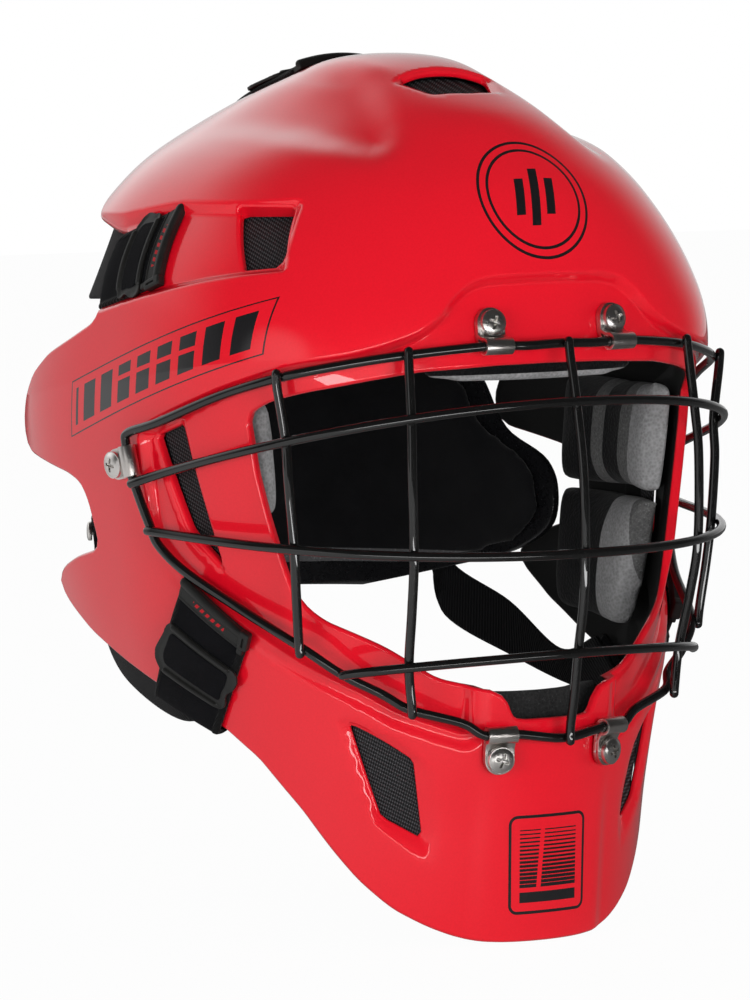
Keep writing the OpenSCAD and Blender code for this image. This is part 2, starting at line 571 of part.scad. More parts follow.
// A clip screw: domed head with a cross recess, and a shank that reaches through the nut
head_h = 3.2;
nut_face = wall + seat_gap + 0.5;
module screw() rotate([0, 90, 0]) difference() {
    translate([0, 0, seat_gap / 2 + 2 * clip_t]) rotate_extrude($fn = round_fn)
        polygon([[0, -seat_gap / 2 - 2 * clip_t - nut_face - nut_flange_t],
            [screw_d / 2, -seat_gap / 2 - 2 * clip_t
            - nut_face - nut_flange_t], [screw_d / 2, 0], [screw_head_d / 2, 0], [screw_head_d / 2, 0.8],
            [screw_head_d * 0.42, 2.1], [screw_head_d * 0.25, 2.9], [0, head_h]]);
    translate([0, 0, 2 * clip_t + head_h - 0.9]) for (turn = [20, 110]) rotate(turn)
        cube([screw_head_d * 0.55, 1.2, 2.6], center = true);
}
module clip_screws() color(nickel) both_sides() for (seat = seats) on_seat(seat) screw();
module nut() rotate([0, 90, 0]) difference() {
    union() {
        translate([0, 0, -nut_face - nut_flange_t]) cylinder(d = nut_flange_d, h = nut_flange_t,
            $fn = round_fn);
        translate([0, 0, -nut_face - nut_flange_t]) cylinder(d = screw_d + 2, h = wall, $fn = round_fn);
    }
    cylinder(d = screw_d + 0.2, h = 40, center = true, $fn = round_fn);
}
module clip_nuts() color(nickel) both_sides() for (seat = seats) on_seat(seat) nut();

// Lining pads, between the panel's wall and the head
lining_depth = step_depth + wall + lining_gap;
module side_pad(quad, rows, cols) color(foam_grey)
    sheet(side_grid(quad, lining_depth, rows, cols), side_pad_grid(quad, lining_depth, pad_t, rows, cols));
module temple_pad_left() side_pad([[-63, -98], [8, -97], [8, -138], [-60, -138]], 9, 11);
module temple_pad_right() mirror([1, 0, 0]) temple_pad_left();
module cheek_pad_left() side_pad([[-59, -141.5], [5, -141.5], [1, -186], [-42, -190]], 9, 9);
module cheek_pad_right() mirror([1, 0, 0]) cheek_pad_left();
module brow_pad() {
    quad = [[-48, -53], [48, -53], [46, -opening_top - 4.5], [-46, -opening_top - 4.5]];
    color(foam_grey) sheet(front_grid(quad, lining_depth, 7, 15),
        front_pad_grid(quad, lining_depth, pad_t, 7, 15));
}
module chin_pad() {
    quad = [[-38, -opening_bottom - 1.5], [38, -opening_bottom - 1.5], [33, -opening_bottom - 49],
        [-33, -opening_bottom - 49]];
    color(foam_grey) sheet(front_grid(quad, lining_depth, 8, 13),
        front_pad_grid(quad, lining_depth, pad_t, 8, 13));
}
// The head's own curve under the crown pad
head_radius = 92;
module crown_pad() {
    quad = [[-48, 34], [48, 34], [44, -36], [-44, -36]];
    outer = crown_grid(quad, wall + lining_gap, 9, 11);
    inner = [for (row = outer) [for (p = row) [p[0], p[1], -(p[0] * p[0] + p[1] * p[1]) / 2 / head_radius]]];
    color(foam_grey) sheet(outer, inner);
}
patch_gap = 0.5;
module patch_front(quad, from) sheet(front_grid(quad, from, 3, 3),
    front_grid(quad, lining_depth - patch_gap, 3, 3));
module patch_side(quad, from) sheet(side_grid(quad, from, 3, 3),
    side_grid(quad, lining_depth - patch_gap, 3, 3));
module hook_patches() color(black) {
    patch_front([[-13, -57], [13, -57], [13, -79], [-13, -79]], step_depth + wall + patch_gap);
    patch_front([[-12, -222], [12, -222], [12, -240], [-12, -240]], wall + patch_gap);
    sheet(crown_grid([[-14, 18], [14, 18], [14, -8], [-14, -8]], wall + patch_gap, 3, 3),
        crown_grid([[-14, 18], [14, 18], [14, -8], [-14, -8]], wall + lining_gap - patch_gap, 3, 3));
    both_sides() {
        patch_side([[-10, -99], [5, -99], [5, -110], [-10, -110]], wall + patch_gap);
        patch_side([[-14, -160], [-1, -160], [-1, -178], [-14, -178]], wall + patch_gap);
    }
}

// Back plate: rings of height, half width and rear reach, and how far forward its wings come
plate_shape = [
    [-22, 68, 96, 88], [-32, 71, 98, 87], [-42, 75, 100, 84], [-55, 81, 103, 79], [-67, 86, 106, 72],
    [-83, 91, 110, 63], [-100, 95, 113, 55], [-112, 95, 113.5, 52], [-121, 95, 113.5, 49],
        [-128, 94.5, 113.5, 26],
    [-136, 94, 113, 17], [-146, 93.6, 112.4, 15.5], [-155, 93, 111.6, 16.5], [-165, 92, 110.4, 30],
    [-173, 91, 109, 60], [-180, 90, 108, 84]];
plate_scale = [plate_width / 190, (plate_rear - 1.5) / 113.5];
plate_rings = [for (r = plate_shape) [r[0], r[1] * plate_scale[0], -r[2] * plate_scale[1],
    r[2] * plate_scale[1],
    0, 2, 2]];
function plate_point(i, share, margin, depth) =
    let (r = plate_rings[i], front = plate_shape[i][3] + margin, start = side_angle(front, r),
        angle = start + (360 - 2 * start) * share, p = ring_point(r, angle),
        n = [p[0] / r[1] / r[1], p[1] / r[3] / r[3], 0])
    p - depth * n / norm(n);
plate_cols = 19;
module back_plate() color(black) difference() {
    plate_sheet();
    rivet_holes();
}
module plate_sheet() sheet(
    [for (i = [0 : len(plate_shape) - 1]) [for (j = [0 : plate_cols - 1])
        plate_point(i, j / (plate_cols - 1), 0, 0)]],
    [for (i = [0 : len(plate_shape) - 1]) [for (j = [0 : plate_cols - 1])
        plate_point(i, j / (plate_cols - 1), 0, plate_t)]]);
plate_pad_rows = [for (i = [1 : len(plate_shape) - 2]) i];
plate_pad_gap = 0.8;
module back_plate_pad() {
    rows = len(plate_pad_rows);
    color(foam_grey) sheet(
        [for (i = plate_pad_rows) [for (j = [0 : plate_cols - 1])
            plate_point(i, j / (plate_cols - 1), 5, plate_t + plate_pad_gap)]],
        [for (i = [0 : rows - 1]) [for (j = [0 : plate_cols - 1])
            plate_point(plate_pad_rows[i], j / (plate_cols - 1), 5,
                plate_t + plate_pad_gap + plate_pad_t * swell(i, j, rows, plate_cols))]]);
}

// Straps: each runs from its moulded end over the shell, round its edge, and a little way back inside.
// A line is the strap's two corners across its width; a path is distances along it with depths.
function strap_grid(from, to, path, table = rings) =
    let (long = norm((to[0] + to[1]) / 2 - (from[0] + from[1]) / 2))
    [for (v = [0 : 0.25 : 1]) [for (s = path)
        let (a = from[0] * (1 - v) + from[1] * v, b = to[0] * (1 - v) + to[1] * v,
            q = a + (b - a) * s[0] / long)
        on_side(q[0], q[1], s[1])]];
function top_grid(path) = [for (x = [-1 : 0.25 : 1]) [for (s = path) on_crown(x * strap_w / 2, s[0], s[1])]];
strap_end_l = 6;
inner_gap = 1;
function under(start, long, s) = [for (k = [0 : 0.25 : 1]) [start + (long - 1 - start) * k, s - seat_gap],
    [long + 0.5, s - 0.2], [long + 0.8, s + wall / 2], [long + 0.5, s + wall + 0.6],
        [long - 1, s + wall + inner_gap],
    [long - 7, s + wall + inner_gap]];
function over(start, long, s) = let (a = s - seat_gap - strap_t, b = s + wall + inner_gap + strap_t)
    [for (k = [0 : 0.25 : 1]) [start + (long - 0.4 - start) * k, a], [long + 1.8, s - 1.2],
        [long + 0.8 + strap_t, s + wall / 2],
    [long + 1.8, s + wall + 1.2], [long - 0.4, b], [long - 7, b]];
upper_from = [[-23, -28.5], [-29, -57]];
upper_to = [[8.2, -38.6], [8.2, -65.6]];
lower_from = [[-37, -160.8], [-60, -180.8]];
lower_to = [[-13, -200.8], [-41, -213.4]];
function line_gap(from, to) = norm((to[0] + to[1]) / 2 - (from[0] + from[1]) / 2);
upper_long = line_gap(upper_from, upper_to);
lower_long = line_gap(lower_from, lower_to);
top_start = 15;
top_edge = 72.2;
module strap_upper_left() color(black) sheet(
    strap_grid(upper_from, upper_to, over(strap_end_l + 0.1, upper_long, step_depth)),
    strap_grid(upper_from, upper_to, under(strap_end_l + 0.1, upper_long, step_depth)));
module strap_upper_right() mirror([1, 0, 0]) strap_upper_left();
module strap_lower_left() color(black) sheet(
    strap_grid(lower_from, lower_to, over(strap_end_l + 0.1, lower_long, 0)),
    strap_grid(lower_from, lower_to, under(strap_end_l + 0.1, lower_long, 0)));
module strap_lower_right() mirror([1, 0, 0]) strap_lower_left();
module strap_top() color(black) sheet(
    top_grid(over(top_start + strap_end_l + 0.1, top_edge, 0)),
    top_grid(under(top_start + strap_end_l + 0.1, top_edge, 0)));

// Moulded ends, thicker in the middle of their length
function end_over(start, s) = [[start, s - seat_gap - strap_end_t * 0.55],
    [start + 1.2, s - seat_gap - strap_end_t * 0.9], [start + strap_end_l / 2, s - seat_gap - strap_end_t],
    [start + strap_end_l, s - seat_gap - strap_end_t * 0.8]];
function end_under(start, s) = [for (p = end_over(start, s)) [p[0], s - seat_gap]];
module strap_end_upper_left() color(black) sheet(strap_grid(upper_from, upper_to, end_over(0, step_depth)),
    strap_grid(upper_from, upper_to, end_under(0, step_depth)));
module strap_end_upper_right() mirror([1, 0, 0]) strap_end_upper_left();
module strap_end_lower_left() color(black) sheet(strap_grid(lower_from, lower_to, end_over(0, 0)),
    strap_grid(lower_from, lower_to, end_under(0, 0)));
module strap_end_lower_right() mirror([1, 0, 0]) strap_end_lower_left();
module strap_end_top() color(black) sheet(top_grid(end_over(top_start, 0)),
    top_grid(end_under(top_start, 0)));

// Pull tabs: thin frames on the straps, hinged along the edge nearest to the shell's edge
function tab_over(a, b, s) = let (d = s - seat_gap - strap_t - tab_gap)
    [[a, d - tab_t * 0.6], [a + 1.5, d - tab_t], [(a + b) / 2, d - tab_t], [b - 1.5, d - tab_t],
        [b, d - tab_t * 0.6]];
function tab_under(a, b, s) = [for (p = tab_over(a, b, s)) [p[0], s - seat_gap - strap_t - tab_gap]];
module pull_tab_upper_left() color(black) sheet(
    strap_grid(upper_from, upper_to, tab_over(10, 25, step_depth)),
    strap_grid(upper_from, upper_to, tab_under(10, 25, step_depth)));
module pull_tab_upper_right() mirror([1, 0, 0]) pull_tab_upper_left();
module pull_tab_lower_left() color(black) sheet(strap_grid(lower_from, lower_to, tab_over(14, 34, 0)),
    strap_grid(lower_from, lower_to, tab_under(14, 34, 0)));
module pull_tab_lower_right() mirror([1, 0, 0]) pull_tab_lower_left();
module pull_tab_top() color(black) sheet(top_grid(tab_over(top_start + 15, top_start + 35, 0)),
    top_grid(tab_under(top_start + 15, top_start + 35, 0)));

// Elastic webbing from the straps' inner ends to the back plate, through edge points above and below
module ribbon(stations, parts) color(black) {
    top = smooth([for (s = stations) s[0]], parts);
    low = smooth([for (s = stations) s[1]], parts);
    n = [for (k = [0 : parts]) let (way = top[min(parts, k + 1)] - top[max(0, k - 1)],
        m = cross(way, low[k] - top[k]))
        elastic_t / 2 * m / norm(m)];
    difference() {
        sheet([for (v = [0, 0.5, 1]) [for (k = [0 : parts]) top[k] * (1 - v) + low[k] * v - n[k]]],
            [for (v = [0, 0.5, 1]) [for (k = [0 : parts]) top[k] * (1 - v) + low[k] * v + n[k]]]);
        rivet_holes();
    }
}
sewn = wall + inner_gap + strap_t + 0.4 + elastic_t / 2;
plate_seat_gap = 0.6;
function plate_seat(i, share) = plate_point(i, share, 0, -plate_seat_gap - elastic_t / 2);
module elastic_upper_left() ribbon([
    [on_side(2, -36, step_depth + sewn), on_side(2, -63, step_depth + sewn)],
    [on_side(8, -36, step_depth + sewn + 0.6), on_side(8, -63, step_depth + sewn + 0.6)],
    fitted([[84, 36, -38], [92, 38, -64]]),
    fitted([[65, 66, -40], [78, 66, -66]]),
    [plate_seat(2, 0.03), plate_seat(4, 0.03)],
    [plate_seat(2, 0.09), plate_seat(4, 0.08)],
    [plate_seat(2, 0.14), plate_seat(4, 0.12)]], 12);
module elastic_upper_right() mirror([1, 0, 0]) elastic_upper_left();
module elastic_lower_left() ribbon([
    [on_side(-15, -195.5, sewn), on_side(-40, -207.5, sewn)],
    fitted([[90.5, 4, -204], [88.6, -12, -222]]),
    fitted([[88, 33, -189], [85, 28, -214]]),
    fitted([[79, 60, -172], [76, 58, -199]]),
    [plate_seat(11, 0.185), plate_seat(14, 0.03)],
    [plate_seat(11, 0.215), plate_seat(14, 0.075)],
    [plate_seat(11, 0.245), plate_seat(14, 0.12)]], 12);
module elastic_lower_right() mirror([1, 0, 0]) elastic_lower_left();
module elastic_top() ribbon([
    [on_crown(16, 65.6, sewn + 0.3), on_crown(-16, 65.6, sewn + 0.3)],
    [on_crown(16, 71.6, sewn + 0.3), on_crown(-16, 71.6, sewn + 0.3)],
    fitted([[16, 79, -16], [-16, 79, -16]]),
    fitted([[16, 93, -17], [-16, 93, -17]]),
    fitted([[16, 99.6, -25], [-16, 99.6, -25]]),
    fitted([[16, 100.6, -39], [-16, 100.6, -39]])], 10);

// Rivets that hold the elastic to the back plate, by the plate's rings and the share of the way round
rivet_d = 7;
rivet_cap = 1.2;
rivet_shank = 3;
rivet_lift = 1.1;
side_rivets = [[2.5, 0.11], [3.6, 0.1], [11.6, 0.205], [13.2, 0.12]];
module at_plate(i, share) {
    low = floor(i);
    r = (plate_point(low, share, 0, 0) * (low + 1 - i) + plate_point(low + 1, share, 0, 0) * (i - low));
    way = plate_point(low, share, 0, -1) - plate_point(low, share, 0, 0);
    translate(r) rotate([0, 90, atan2(way[1], way[0])]) children();
}
module at_rivets() {
    both_sides() for (q = side_rivets) at_plate(q[0], q[1]) children();
    both_sides() translate([9, 0, 0]) at_plate(1.2, 0.5) children();
}
module rivet_holes() at_rivets() cylinder(d = rivet_shank + 0.3, h = 16, center = true, $fn = small_fn);
module plate_rivets() color(nickel) at_rivets() rotate_extrude($fn = small_fn)
    polygon([[0, -plate_t + 0.3], [rivet_shank / 2, -plate_t + 0.3],
        [rivet_shank / 2, elastic_t + rivet_lift],
        [rivet_d / 2, elastic_t + rivet_lift], [rivet_d / 2 - 0.3, elastic_t + rivet_lift + rivet_cap * 0.6],
        [rivet_d / 4, elastic_t + rivet_lift + rivet_cap], [0, elastic_t + rivet_lift + rivet_cap]]);

shell();
vent_mesh_crown();
vent_mesh_temple_left();
vent_mesh_temple_right();
vent_mesh_cheek_left();
vent_mesh_cheek_right();
vent_mesh_jaw_left();
vent_mesh_jaw_right();
cage_rim_wire();
cage_cross_wires();
cage_upright_wires();
cage_clip_brow_left();
cage_clip_brow_right();
cage_clip_side_left();
cage_clip_side_right();
cage_clip_chin_left();
cage_clip_chin_right();
clip_screws();
clip_nuts();
brow_pad();
crown_pad();
temple_pad_left();
temple_pad_right();
cheek_pad_left();
cheek_pad_right();
chin_pad();
hook_patches();
back_plate();
back_plate_pad();
plate_rivets();
strap_top();
strap_upper_left();
strap_upper_right();
strap_lower_left();
strap_lower_right();
elastic_top();
elastic_upper_left();
elastic_upper_right();
elastic_lower_left();
elastic_lower_right();
strap_end_top();
strap_end_upper_left();
strap_end_upper_right();
strap_end_lower_left();
strap_end_lower_right();
pull_tab_top();
pull_tab_upper_left();
pull_tab_upper_right();
pull_tab_lower_left();
pull_tab_lower_right();
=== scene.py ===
# Looks for the goalie helmet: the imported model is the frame, and every piece here is in its space.
import json
import math
import bpy
import numpy as np
from mathutils import Matrix, Vector

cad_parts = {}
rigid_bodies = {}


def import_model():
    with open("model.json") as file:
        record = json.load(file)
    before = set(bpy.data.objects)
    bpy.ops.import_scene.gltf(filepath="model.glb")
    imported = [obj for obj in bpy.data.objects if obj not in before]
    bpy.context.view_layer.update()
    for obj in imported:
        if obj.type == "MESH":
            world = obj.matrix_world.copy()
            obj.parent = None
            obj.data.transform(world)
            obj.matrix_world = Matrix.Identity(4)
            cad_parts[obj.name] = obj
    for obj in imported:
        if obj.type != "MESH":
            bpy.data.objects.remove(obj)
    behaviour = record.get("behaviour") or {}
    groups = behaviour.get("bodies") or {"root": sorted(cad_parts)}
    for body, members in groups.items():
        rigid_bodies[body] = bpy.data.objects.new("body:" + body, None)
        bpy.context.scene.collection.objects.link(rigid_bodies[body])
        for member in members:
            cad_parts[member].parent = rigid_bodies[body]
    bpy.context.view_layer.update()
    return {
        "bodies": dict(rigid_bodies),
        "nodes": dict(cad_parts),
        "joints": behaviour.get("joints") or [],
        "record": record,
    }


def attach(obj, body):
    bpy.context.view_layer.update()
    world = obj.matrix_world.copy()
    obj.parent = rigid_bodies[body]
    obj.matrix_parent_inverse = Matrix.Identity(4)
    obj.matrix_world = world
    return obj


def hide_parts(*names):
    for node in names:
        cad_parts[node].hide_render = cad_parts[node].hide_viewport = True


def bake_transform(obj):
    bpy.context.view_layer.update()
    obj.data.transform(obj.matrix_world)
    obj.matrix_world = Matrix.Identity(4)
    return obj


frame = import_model()
bpy.ops.object.select_all(action="DESELECT")
scene = bpy.context.scene
scene.view_settings.view_transform = "Standard"
mm = 0.001

# Camera: a long lens, a little above the face opening
cameraPlace = {"at": (-1.4335, -2.0514, 0.0798), "turn": -35, "tilt": 5, "lens": 330}
turn = math.radians(cameraPlace["turn"])
tilt = math.radians(cameraPlace["tilt"])
ahead = Vector((-math.sin(turn) * math.cos(tilt), math.cos(turn) * math.cos(tilt), -math.sin(tilt)))
cameraData = bpy.data.cameras.new("helmetCamera")
cameraData.sensor_fit = "HORIZONTAL"
cameraData.sensor_width = 36
cameraData.lens = cameraPlace["lens"]
camera = bpy.data.objects.new("helmetCamera", cameraData)
camera.location = cameraPlace["at"]
camera.rotation_euler = ahead.to_track_quat("-Z", "Y").to_euler()
scene.collection.objects.link(camera)
scene.camera = camera
print("camera stands")


# Shader sums: a socket that knows its tree
def sums(operation):
    return lambda self, other: self.maths(operation, other)


class Shade:
    def __init__(self, tree, socket=None):
        self.tree = tree
        self.socket = socket

    def node(self, kind, settings=None, inputs=None, out=0):
        made = self.tree.nodes.new(kind)
        for name, value in (settings or {}).items():
            setattr(made, name, value)
        for name, value in (inputs or {}).items():
            if isinstance(value, Shade):
                self.tree.links.new(value.socket, made.inputs[name])
            else:
                made.inputs[name].default_value = value
        return Shade(self.tree, made.outputs[out])

    def maths(self, operation, other=None):
        inputs = {0: self} if other is None else {0: self, 1: other}
        return self.node("ShaderNodeMath", {"operation": operation}, inputs)

    __add__ = __radd__ = sums("ADD")
    __mul__ = __rmul__ = sums("MULTIPLY")
    __sub__, __truediv__ = sums("SUBTRACT"), sums("DIVIDE")
    below, above = sums("LESS_THAN"), sums("GREATER_THAN")
    power, either = sums("POWER"), sums("MAXIMUM")

    def __rsub__(self, other):
        return (self * -1) + other

    def __abs__(self):
        return self.maths("ABSOLUTE")

    def between(self, low, high):
        return self.above(low) * self.below(high)

    def wave(self, pitch):
        return (self * (2 * math.pi / pitch)).maths("SINE")

    def soft(self, low, high):
        limits = {"Value": self, "From Min": low, "From Max": high}
        return self.node("ShaderNodeMapRange", {"interpolation_type": "SMOOTHSTEP"}, limits)


class Finish:
    def __init__(self, name):
        self.material = bpy.data.materials.new(name)
        self.material.use_nodes = True
        self.tree = self.material.node_tree
        self.tree.nodes.clear()
        self.start = Shade(self.tree)
        self.place = self.start.node("ShaderNodeTexCoord", out=3)
        parts = self.start.node("ShaderNodeSeparateXYZ", inputs={0: self.place}).socket.node
        self.x, self.y, self.z = (Shade(self.tree, parts.outputs[k]) for k in range(3))

    def noise(self, scale, detail=3, rough=0.5):
        return self.start.node("ShaderNodeTexNoise", inputs={"Vector": self.place, "Scale": scale,
                                                              "Detail": detail, "Roughness": rough})

    def carried(self, name):
        # A number that the piece's vertices carry
        return self.start.node("ShaderNodeAttribute", {"attribute_name": name}, out=2)

    def mix(self, share, first, second):
        first, second = (c if isinstance(c, Shade) else (*c, 1) for c in (first, second))
        return self.start.node("ShaderNodeMix", {"data_type": "RGBA"}, {0: share, 6: first, 7: second}, out=2)

    def bump(self, height, distance, strength):
        inputs = {"Height": height, "Distance": distance, "Strength": strength}
        return self.start.node("ShaderNodeBump", inputs=inputs)

    def surface(self, colour, rough, fixed, **varying):
        varying = {name.replace("_", " "): value for name, value in varying.items()}
        inputs = {"Base Color": colour, "Roughness": rough, **varying, **fixed}
        shader = self.start.node("ShaderNodeBsdfPrincipled", inputs=inputs)
        out = self.tree.nodes.new("ShaderNodeOutputMaterial")
        self.tree.links.new(shader.socket, out.inputs[0])
        return self.material


# Mesh helpers
def meshPiece(name, points, faces, material, normals=None):
    mesh = bpy.data.meshes.new(name)
    points = [tuple(p) for p in np.asarray(points, float) * mm]
    mesh.from_pydata(points, [], [tuple(int(k) for k in f) for f in faces])
    mesh.update()
    mesh.polygons.foreach_set("use_smooth", np.ones(len(mesh.polygons), bool))
    if normals is not None:
        mesh.normals_split_custom_set_from_vertices([tuple(n) for n in normals])
    piece = bpy.data.objects.new(name, mesh)
    scene.collection.objects.link(piece)
    mesh.materials.append(material)
    return piece


def only(piece):
    bpy.ops.object.select_all(action="DESELECT")
    piece.select_set(True)
    bpy.context.view_layer.objects.active = piece


def settle(piece):
    only(piece)
    bpy.ops.object.transform_apply(location=True, rotation=True, scale=True)
    return piece


def applied(piece, kind, **settings):
    only(piece)
    modifier = piece.modifiers.new(kind.lower(), kind)
    for name, value in settings.items():
        setattr(modifier, name, value)
    bpy.ops.object.modifier_apply(modifier=modifier.name)
    return piece


def smoothed(piece, degrees):
    only(piece)
    bpy.ops.object.shade_smooth_by_angle(angle=math.radians(degrees))
    return piece


def edged(piece, width, segments, degrees):
    # A small round on every edge sharper than this
    return applied(piece, "BEVEL", width=width * mm, segments=segments, limit_method="ANGLE",
                   angle_limit=math.radians(degrees))


def carved(piece, tool, operation="DIFFERENCE", **settings):
    applied(piece, "BOOLEAN", operation=operation, object=tool, solver="EXACT", **settings)
    bpy.data.objects.remove(tool)
    return piece


def outward(piece):
    # Every face turned outwards
    only(piece)
    bpy.ops.object.mode_set(mode="EDIT")
    bpy.ops.mesh.select_all(action="SELECT")
    bpy.ops.mesh.normals_make_consistent(inside=False)
    bpy.ops.object.mode_set(mode="OBJECT")
    return piece


def cylinder(sides, radius, depth, height=0.0, turn=0.0):
    bpy.ops.mesh.primitive_cylinder_add(vertices=sides, radius=radius * mm, depth=depth * mm,
                                        location=(0, 0, height * mm), rotation=(0, math.radians(turn), 0))
    return settle(bpy.context.object)


def cuboid(size, at, turn=0.0):
    bpy.ops.mesh.primitive_cube_add(size=1, location=tuple(v * mm for v in at), rotation=(0, 0, turn))
    bpy.context.object.scale = tuple(v * mm for v in size)
    return settle(bpy.context.object)


def stepped(piece, steps):
    # A turned head: its top face is drawn in and lifted, step by step
    only(piece)
    bpy.ops.object.mode_set(mode="EDIT")
    bpy.ops.mesh.select_mode(type="FACE")
    bpy.ops.mesh.select_all(action="DESELECT")
    bpy.ops.object.mode_set(mode="OBJECT")
    for face in piece.data.polygons:
        face.select = face.normal.z > 0.9
    bpy.ops.object.mode_set(mode="EDIT")
    for inset, rise in steps:
        bpy.ops.mesh.inset(thickness=inset * mm, depth=0)
        bpy.ops.transform.translate(value=(0, 0, rise * mm))
    bpy.ops.object.mode_set(mode="OBJECT")


def carry(piece, name, values):
    # A number on each vertex, for the finish to read
    layer = piece.data.attributes.new(name, "FLOAT", "POINT")
    layer.data.foreach_set("value", np.asarray(values, np.float32))


def dress(piece, body, node):
    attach(piece, body)
    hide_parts(node)


def joined(name, pieces):
    bpy.ops.object.select_all(action="DESELECT")
    for piece in pieces:
        piece.select_set(True)
    bpy.context.view_layer.objects.active = pieces[0]
    if len(pieces) > 1:
        bpy.ops.object.join()
    pieces[0].name = name
    return pieces[0]


def repaint(piece, material):
    piece.data.materials.clear()
    piece.data.materials.append(material)
    return piece


def copied(piece, name, matrix):
    twin = piece.copy()
    twin.data = piece.data.copy()
    twin.name = name
    scene.collection.objects.link(twin)
    twin.data.transform(matrix)
    if matrix.determinant() < 0:
        twin.data.flip_normals()
    return twin


flipX = Matrix.Scale(-1, 4, (1, 0, 0))


def handed(piece, stem, paired=True):
    # The piece alone, or with its mirror image; each with its node's name and the side it is on
    if not paired:
        return ((stem, piece, 1),)
    return ((stem + "_left", piece, 1), (stem + "_right", copied(piece, stem, flipX), -1))


# Finishes
marks = {
    "ring": {"centre": (0, -103, -24), "up": (0.53, 0.848), "radii": (22.4, 19.0), "line": 0.55,
             "bars": [(-6.5, 7.0), (0, 11.0), (6.5, 7.0)], "bar": 1.9, "lean": 0.22},
    "side": {"front": (-73.5, -69), "rear": (19.5, -101.5), "high": 6.2, "pitch": 11.8, "bar": 3.9,
             "lean": 0.42,
             "frame": 9.3},
    "chin": {"middle": -260, "half": (16.5, 17.8), "round": 3.4, "line": 0.55, "lean": -0.04, "bars": 15,
             "base": -271.5}}


def within(value, low, high):
    # One between two limits, with edges sharp to a fiftieth of a millimetre
    return value.soft(low - 0.01, low + 0.01) * (1 - value.soft(high - 0.01, high + 0.01))


def ringMark(paint):
    # Two thin rings round three plain upright bars, on the forehead
    form = marks["ring"]
    x, y, z = paint.x * 1000, paint.y * 1000, paint.z * 1000
    t = (y - form["centre"][1]) * form["up"][0] + (z - form["centre"][2]) * form["up"][1]
    r = (x * x + t * t).maths("SQRT")
    mask = None
    for radius in form["radii"]:
        ring = within(r, radius - form["line"], radius + form["line"])
        mask = ring if mask is None else mask.either(ring)
    for at, tall in form["bars"]:
        lean = x - t * form["lean"] - at
        mask = mask.either(within(lean, -form["bar"], form["bar"]) * within(t, -tall, tall))
    return mask * y.below(-60)


def sideMark(paint):
    # A row of slanted bars in a thin frame, along each temple
    form = marks["side"]
    (y0, z0), (y1, z1) = form["front"], form["rear"]
    long = math.hypot(y1 - y0, z1 - z0)
    cy, cz = (y1 - y0) / long, (z1 - z0) / long
    y, z = paint.y * 1000 - y0, paint.z * 1000 - z0
    along, up = y * cy + z * cz, z * cy - y * cz
    s = along + up * form["lean"]
    place = (s / form["pitch"]).maths("FRACT") * form["pitch"]
    bars = within(place, form["pitch"] / 2 - form["bar"], form["pitch"] / 2 + form["bar"])
    bars = bars * within(up, -form["high"], form["high"]) * within(s, 0.5, long - 0.5)
    split = 1 - within(up - along * 0.03, -0.9, 0.7) * within(s, form["pitch"] * 2, form["pitch"] * 6)
    outside = within(up, -form["frame"], form["frame"]) * within(s, -3, long + 3)
    edge = within(up, 0.5 - form["frame"], form["frame"] - 0.5) * within(s, -2.4, long + 2.4)
    return (bars * split).either(outside * (1 - edge)) * abs(paint.x).above(0.06)


def chinMark(paint):
    # Level bars that thicken downwards over one broad bar, in a rounded frame
    form = marks["chin"]
    z = paint.z * 1000 - form["middle"]
    x = paint.x * 1000 - z * form["lean"]
    wide, tall = form["half"]
    qx = (abs(x) - (wide - form["round"])).either(0)
    qz = (abs(z) - (tall - form["round"])).either(0)
    d = (qx * qx + qz * qz).maths("SQRT")
    frame = within(d, form["round"] - form["line"] * 2, form["round"])
    floor = form["base"] - form["middle"] + 3.2
    top = tall - 4.2
    step = (top - floor) / form["bars"]
    place = (z - floor) / step
    share = place.maths("FRACT")
    thick = 0.9 - place / form["bars"] * 0.62
    bars = share.maths("LESS_THAN", thick) * within(z, floor, top) * abs(x).below(12.2)
    gap = 1 - within(x - (z - floor) * 0.08, -5.4, -3.6)
    low = within(z, floor - 5.4, floor - 1.6) * abs(x).below(12.2)
    return frame.either(bars * gap).either(low) * paint.y.below(-0.06)


def makeShellPaint():
    paint = Finish("candyGloss")
    fleck = paint.noise(1400, 2)
    cloud = paint.noise(14, 3)
    lining = paint.carried("inside")
    colour = paint.mix(fleck, (0.68, 0.003, 0.013), (0.80, 0.005, 0.019))
    colour = paint.mix(cloud * 0.25, colour, (0.60, 0.002, 0.012))
    printed = ringMark(paint).either(sideMark(paint)).either(chinMark(paint)) * (1 - lining)
    ink = paint.mix(fleck, (0.004, 0.004, 0.005), (0.012, 0.011, 0.012))
    colour = paint.mix(printed, colour, ink)
    colour = paint.mix(lining, colour, paint.mix(fleck, (0.004, 0.004, 0.004), (0.010, 0.010, 0.010)))
    peel = paint.bump(paint.noise(420, 2), 0.00002, 0.25)
    rough = 0.34 + cloud * 0.06 + lining * 0.5
    return paint.surface(colour, rough, {"Specular IOR Level": 0.25, "Coat Roughness": 0.02,
                                         "Coat IOR": 1.45},
                         Coat_Weight=1 - lining * 0.97, Normal=peel)


shellPaint = makeShellPaint()


def makeWireCoat():
    coat = Finish("coatedWire")
    dust = coat.noise(900, 3)
    colour = coat.mix(dust, (0.002, 0.002, 0.002), (0.006, 0.006, 0.006))
    fixed = {"Specular IOR Level": 0.08, "Coat Weight": 1.0, "Coat Roughness": 0.03, "Coat IOR": 1.55}
    return coat.surface(colour, 0.36 + dust * 0.12, fixed, Normal=coat.bump(coat.noise(220, 2), 0.00003, 0.2))


wireCoat = makeWireCoat()


